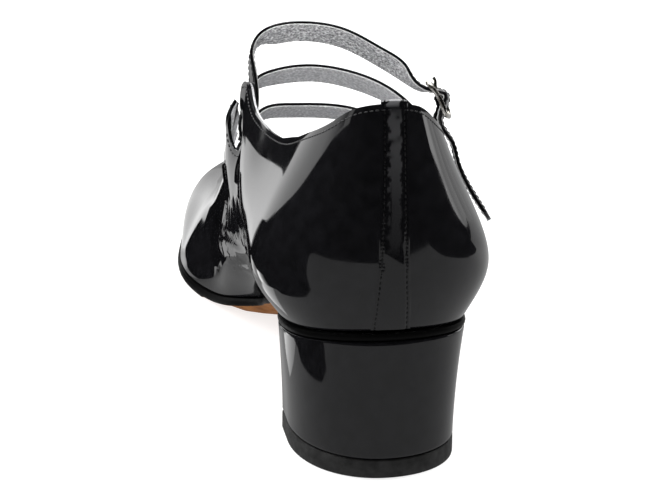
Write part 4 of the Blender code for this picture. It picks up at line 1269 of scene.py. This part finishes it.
studio = {
    "floor": (0.35, 0.35, 0.35), "floorFar": (0.37, 0.37, 0.37), "floorGlow": 0.78, "world": 1.0,
    "floorSize": 9.0, "floorPlace": (0.0, 0.6, -0.0002),
    "sheetSteps": 60, "sheetRows": 6, "layerStep": 0.4, "patchLevel": -0.55, "patchStep": 0.05,
    # name, place, aim, width, height, power, seen in the gloss
    "lights": (
        ("overhead", (0.0, 0.55, 1.35), (0.0, 0.06, 0.05), 1.7, 1.1, 40.0, True),
        ("leftSoft", (-0.95, 0.42, 0.62), (0.0, 0.06, 0.06), 0.75, 0.9, 17.0, False),
        ("rightSoft", (0.95, 0.25, 0.60), (0.0, 0.04, 0.07), 0.45, 1.0, 12.0, False),
        ("frontFill", (-0.55, -1.35, 1.05), (0.0, 0.05, 0.06), 0.8, 0.5, 10.0, False),
    ),
    # cards that only the gloss sees, glowing to paint the reflections, the dark ones painted shade: name,
    # corner, two sides, brightness
    "cards": (
        ("tableCard", (-0.6, -0.212, -0.0006), (0.875, 0, 0), (0, 1.11, 0), 0.4),
        ("backCard", (-0.9, 0.9, -0.1), (1.8, 0, 0), (0, 0, 0.22), 1.0),
        ("brightCard", (-0.9, 0.9, 0.12), (1.8, 0, 0), (0, 0, 0.45), 2.4),
        ("leftCard", (-0.9, -0.05, -0.1), (0, 0.95, 0), (0, 0, 0.9), 1.0),
        ("tabShade", (-0.054, 0.0885, 0.073), (0.0205, 0, 0), (0, 0, 0.03), 0.0),
        ("waistShade", (-0.045, 0.1365, 0.009), (0.0127, 0, 0), (0, 0, 0.035), 0.0),
    ),
    # where the second shoe of the pair would stand, and a line on the other side: along and across
    "beside": ((-60, -109), (64, -81), (102, -74), (140, -62), (178, -49), (216, -40), (290, -24)),
    "outside": ((60, 300), (360, 300)),
    # upright sheets standing there, seen only in the gloss, glowing to paint reflections, the dark ones
    # painted shade: along, low edge, high edge, brightness
    "outsideSheets": (
        ("rightGlow", ((74, 70, 105, 2.1), (120, 58, 95, 1.9), (163, 47, 90, 0.8), (230, 41, 80, 0.8),
                       (250, 34, 75, 0.5), (354, 10, 60, 0.5))),
    ),
    "sheets": (
        ("otherShoe", ((-11, 0, 112, 0), (24, 0, 106, 0), (45, 0, 101, 0), (63, 0, 91, 0), (81, 0, 81, 0),
                       (85, 0, 79, 0), (86, 19, 78.5, 0), (99, 20, 71, 0), (117, 20, 58.5, 0),
                       (135, 20, 53, 0), (144, 18, 44, 0), (152, 17, 32, 0), (162, 16, 22, 0),
                       (169, 14, 19, 0), (171, 0, 19, 0), (214, 0, 16, 0), (219, 4, 8, 0))),
        ("waistGlow", ((85, 0, 19, 0.1), (91, 0, 19, 0.5), (98, 0, 19, 1.2), (104, 0, 19, 2.2),
                       (108, 0, 19, 3.0), (113, 0, 19, 2.8), (116, 0, 19, 0.8), (122, 0, 19, 0.4),
                       (142, 0, 19, 0.8), (152, 0, 16, 1.1), (169, 0, 13, 0.9))),
        ("farTable", ((24, 107, 130, 0.2), (45, 101.5, 126, 0.8), (63, 92, 120, 1.1), (81, 82, 110, 1.0),
                      (99, 72, 105, 1.0), (117, 59.5, 100, 1.1), (130, 54, 94, 1.25), (140, 50, 90, 1.4),
                      (148, 40, 82, 1.3), (155, 31, 74, 1.25), (162, 23, 66, 1.3), (180, 20, 60, 1.0),
                      (208, 16, 52, 1.1), (212, -12, 50, 1.15), (236, -14, 47, 1.2), (252, -14, 45, 0.95),
                      (268, -16, 42, 0.7), (285, -16, 40, 0.6))),
        ("otherTab", ((153, 59, 75, 0), (168, 57, 72, 0), (174, 51, 66, 0), (190, 48, 61, 0),
                      (208, 43, 52, 0))),
    ),
    # patches of floor, seen only in the gloss, glowing to paint reflections, the dark ones painted shade:
    # along, from, to, brightness
    "patches": (
        ("otherShade", ((-9, -100, -90, 0), (8, -97, -80, 0), (58, -92, -77, 0), (72, -88, -82, 0))),
        ("rightTable", ((74, 46, 285, 0.4), (150, 46, 295, 0.5), (200, 46, 330, 0.5), (240, 46, 430, 0.45),
                        (280, 46, 560, 0.42), (400, 46, 620, 0.42), (700, 46, 640, 0.5))),
        ("waistFloor", ((76, -84, -46, 1.0), (98, -80, -46, 1.5), (110, -78, -50, 1.8),
                        (117, -74, -56, 0.6))),
        ("betweenShade", ((163, -60, -50, 0), (170, -58, -43, 0), (185, -54, -43.5, 0), (195, -52, -45, 0),
                          (214, -48, -45, 0))),
        ("foreShade", ((122, -50, -16, 0.3), (160, -47, -18, 0.35), (166, -46, -24, 0.3),
                       (172, -42, -24, 0.15), (182, -40, -24, 0))),
        ("foreLight", ((184, -43, -24, 0.5), (192, -45, -24, 0.75), (205, -45, -24, 0.6),
                       (215, -46, -24, 1.1), (225, -46, -24, 1.2), (240, -42, -24, 0.75),
                       (262, -36, -24, 0.6), (272, -34, -24, 0.1))),
    ),
}


def glossOnly(piece, brightness=None):
    # without a brightness, the piece carries its own in an attribute
    glow = newMaterial(piece.name, 0.0, 0.5, sockets={
        "Specular IOR Level": 0.0, "Emission Color": (1, 1, 1, 1),
        "Emission Strength": 1.0 if brightness is None else brightness})
    if brightness is None:
        shader = glow.node_tree.nodes["Principled BSDF"]
        glow.node_tree.links.new(attributeValue(glow, "glow"), shader.inputs["Emission Strength"])
    piece.data.materials.clear()
    piece.data.materials.append(glow)
    piece.visible_camera = piece.visible_diffuse = piece.visible_shadow = False
    piece.visible_transmission = False


def makeFloor():
    deselectAll()
    bpy.ops.mesh.primitive_plane_add(size=studio["floorSize"], location=studio["floorPlace"])
    floor = bpy.context.object
    settle(floor)
    floor.name = floor.data.name = "floor"
    paper = newMaterial("paleFloor", studio["floor"], 0.9,
                        tint=((4.0, 2.0), ((0.3, studio["floor"]), (0.7, studio["floorFar"]))),
                        sockets={"Specular IOR Level": 0.1, "Emission Color": (1, 1, 1, 1),
                                 "Emission Strength": studio["floorGlow"]})
    floor.data.materials.append(paper)
    floor.visible_glossy = False


def makeCard(name, corner, first, second, brightness):
    deselectAll()
    bpy.ops.mesh.primitive_plane_add(size=1.0)
    card = bpy.context.object
    card.name = card.data.name = name
    for vertex in card.data.vertices:
        a, b = vertex.co.x + 0.5, vertex.co.y + 0.5
        vertex.co = Vector(corner) + Vector(first) * a + Vector(second) * b
    glossOnly(card, brightness)


def makeGlossSheet(name, rows, line, layer):
    # a sheet between two edges, level on the floor or upright beside the shoe; later layers lie in front
    rows = np.array(rows, float)
    along = np.linspace(rows[0, 0], rows[-1, 0], studio["sheetSteps"] + 1)
    first, second, glow = (np.interp(along, rows[:, 0], rows[:, k])[:, None] for k in (1, 2, 3))
    between = first + (second - first) * np.linspace(0, 1, studio["sheetRows"] + 1)
    y = along[:, None] - shoe["heelCentre"] + 0 * between
    if line:
        aside = np.interp(along, *np.array(studio[line], float).T)[:, None] + studio["layerStep"] * layer
        grid = np.stack([aside + 0 * between, y, between], 2)
    else:
        level = studio["patchLevel"] + studio["patchStep"] * layer
        grid = np.stack([between, y, level + 0 * between], 2)
    card = gridPiece(name, grid)
    setAttribute(card, "glow", lambda places: np.interp(places[:, 1] + shoe["heelCentre"], along, glow[:, 0]))
    glossOnly(card)


def makeLamp(name, place, target, width, height, power, inGloss):
    lamp = bpy.data.lights.new(name, "AREA")
    lamp.shape = "RECTANGLE"
    lamp.size, lamp.size_y, lamp.energy = width, height, power
    stand = bpy.data.objects.new(name, lamp)
    bpy.context.scene.collection.objects.link(stand)
    aim = (Vector(target) - Vector(place)).to_track_quat("-Z", "Y").to_matrix().to_4x4()
    stand.matrix_world = Matrix.Translation(place) @ aim
    stand.visible_camera = False
    stand.visible_glossy = inGloss


def makeStage():
    makeFloor()
    for row in studio["cards"]:
        makeCard(*row)
    for kind, line in (("sheets", "beside"), ("outsideSheets", "outside"), ("patches", None)):
        for layer, (name, rows) in enumerate(studio[kind]):
            makeGlossSheet(name, rows, line, layer)
    for row in studio["lights"]:
        makeLamp(*row)
    world = bpy.data.worlds.new("studio")
    bpy.context.scene.world = world
    world.use_nodes = True
    setSockets(world.node_tree.nodes["Background"], {"Color": (1, 1, 1, 1), "Strength": studio["world"]})
    world.cycles_visibility.diffuse = False
    world.cycles_visibility.glossy = False


view = {
    "distance": 1200.0, "tiltDown": 20.0, "turn": 6.5, "aside": 2.32989, "lens": 219.22388, "sensor": 36.0,
    "anchor": (0.0, -21.5, 0.0), "anchorRight": 63.24, "anchorUp": 67.3, "near": 0.05, "far": 30.0,
}


def makeCamera():
    look = view
    turn, tilt = math.radians(look["turn"]), math.radians(look["tiltDown"])
    right = Vector((math.cos(turn), -math.sin(turn), 0))
    level = Vector((math.sin(turn), math.cos(turn), 0))
    forward = level * math.cos(tilt) - Vector((0, 0, math.sin(tilt)))
    up = right.cross(forward)
    place = (Vector(look["anchor"]) - right * look["anchorRight"] + up * look["anchorUp"]
             - forward * look["distance"]) * mm
    aside = math.radians(look["aside"])
    right, forward = (right * math.cos(aside) - forward * math.sin(aside),
                      forward * math.cos(aside) + right * math.sin(aside))
    data = bpy.data.cameras.new("camera")
    data.sensor_width, data.lens = look["sensor"], look["lens"]
    data.clip_start, data.clip_end = look["near"], look["far"]
    camera = bpy.data.objects.new("camera", data)
    bpy.context.scene.collection.objects.link(camera)
    turned = Matrix((right, up, -forward)).transposed().to_4x4()
    camera.matrix_world = Matrix.Translation(place) @ turned
    bpy.context.scene.camera = camera


makeStage()
makeCamera()
bpy.context.scene.view_settings.view_transform = "Standard"
print("stage ready")
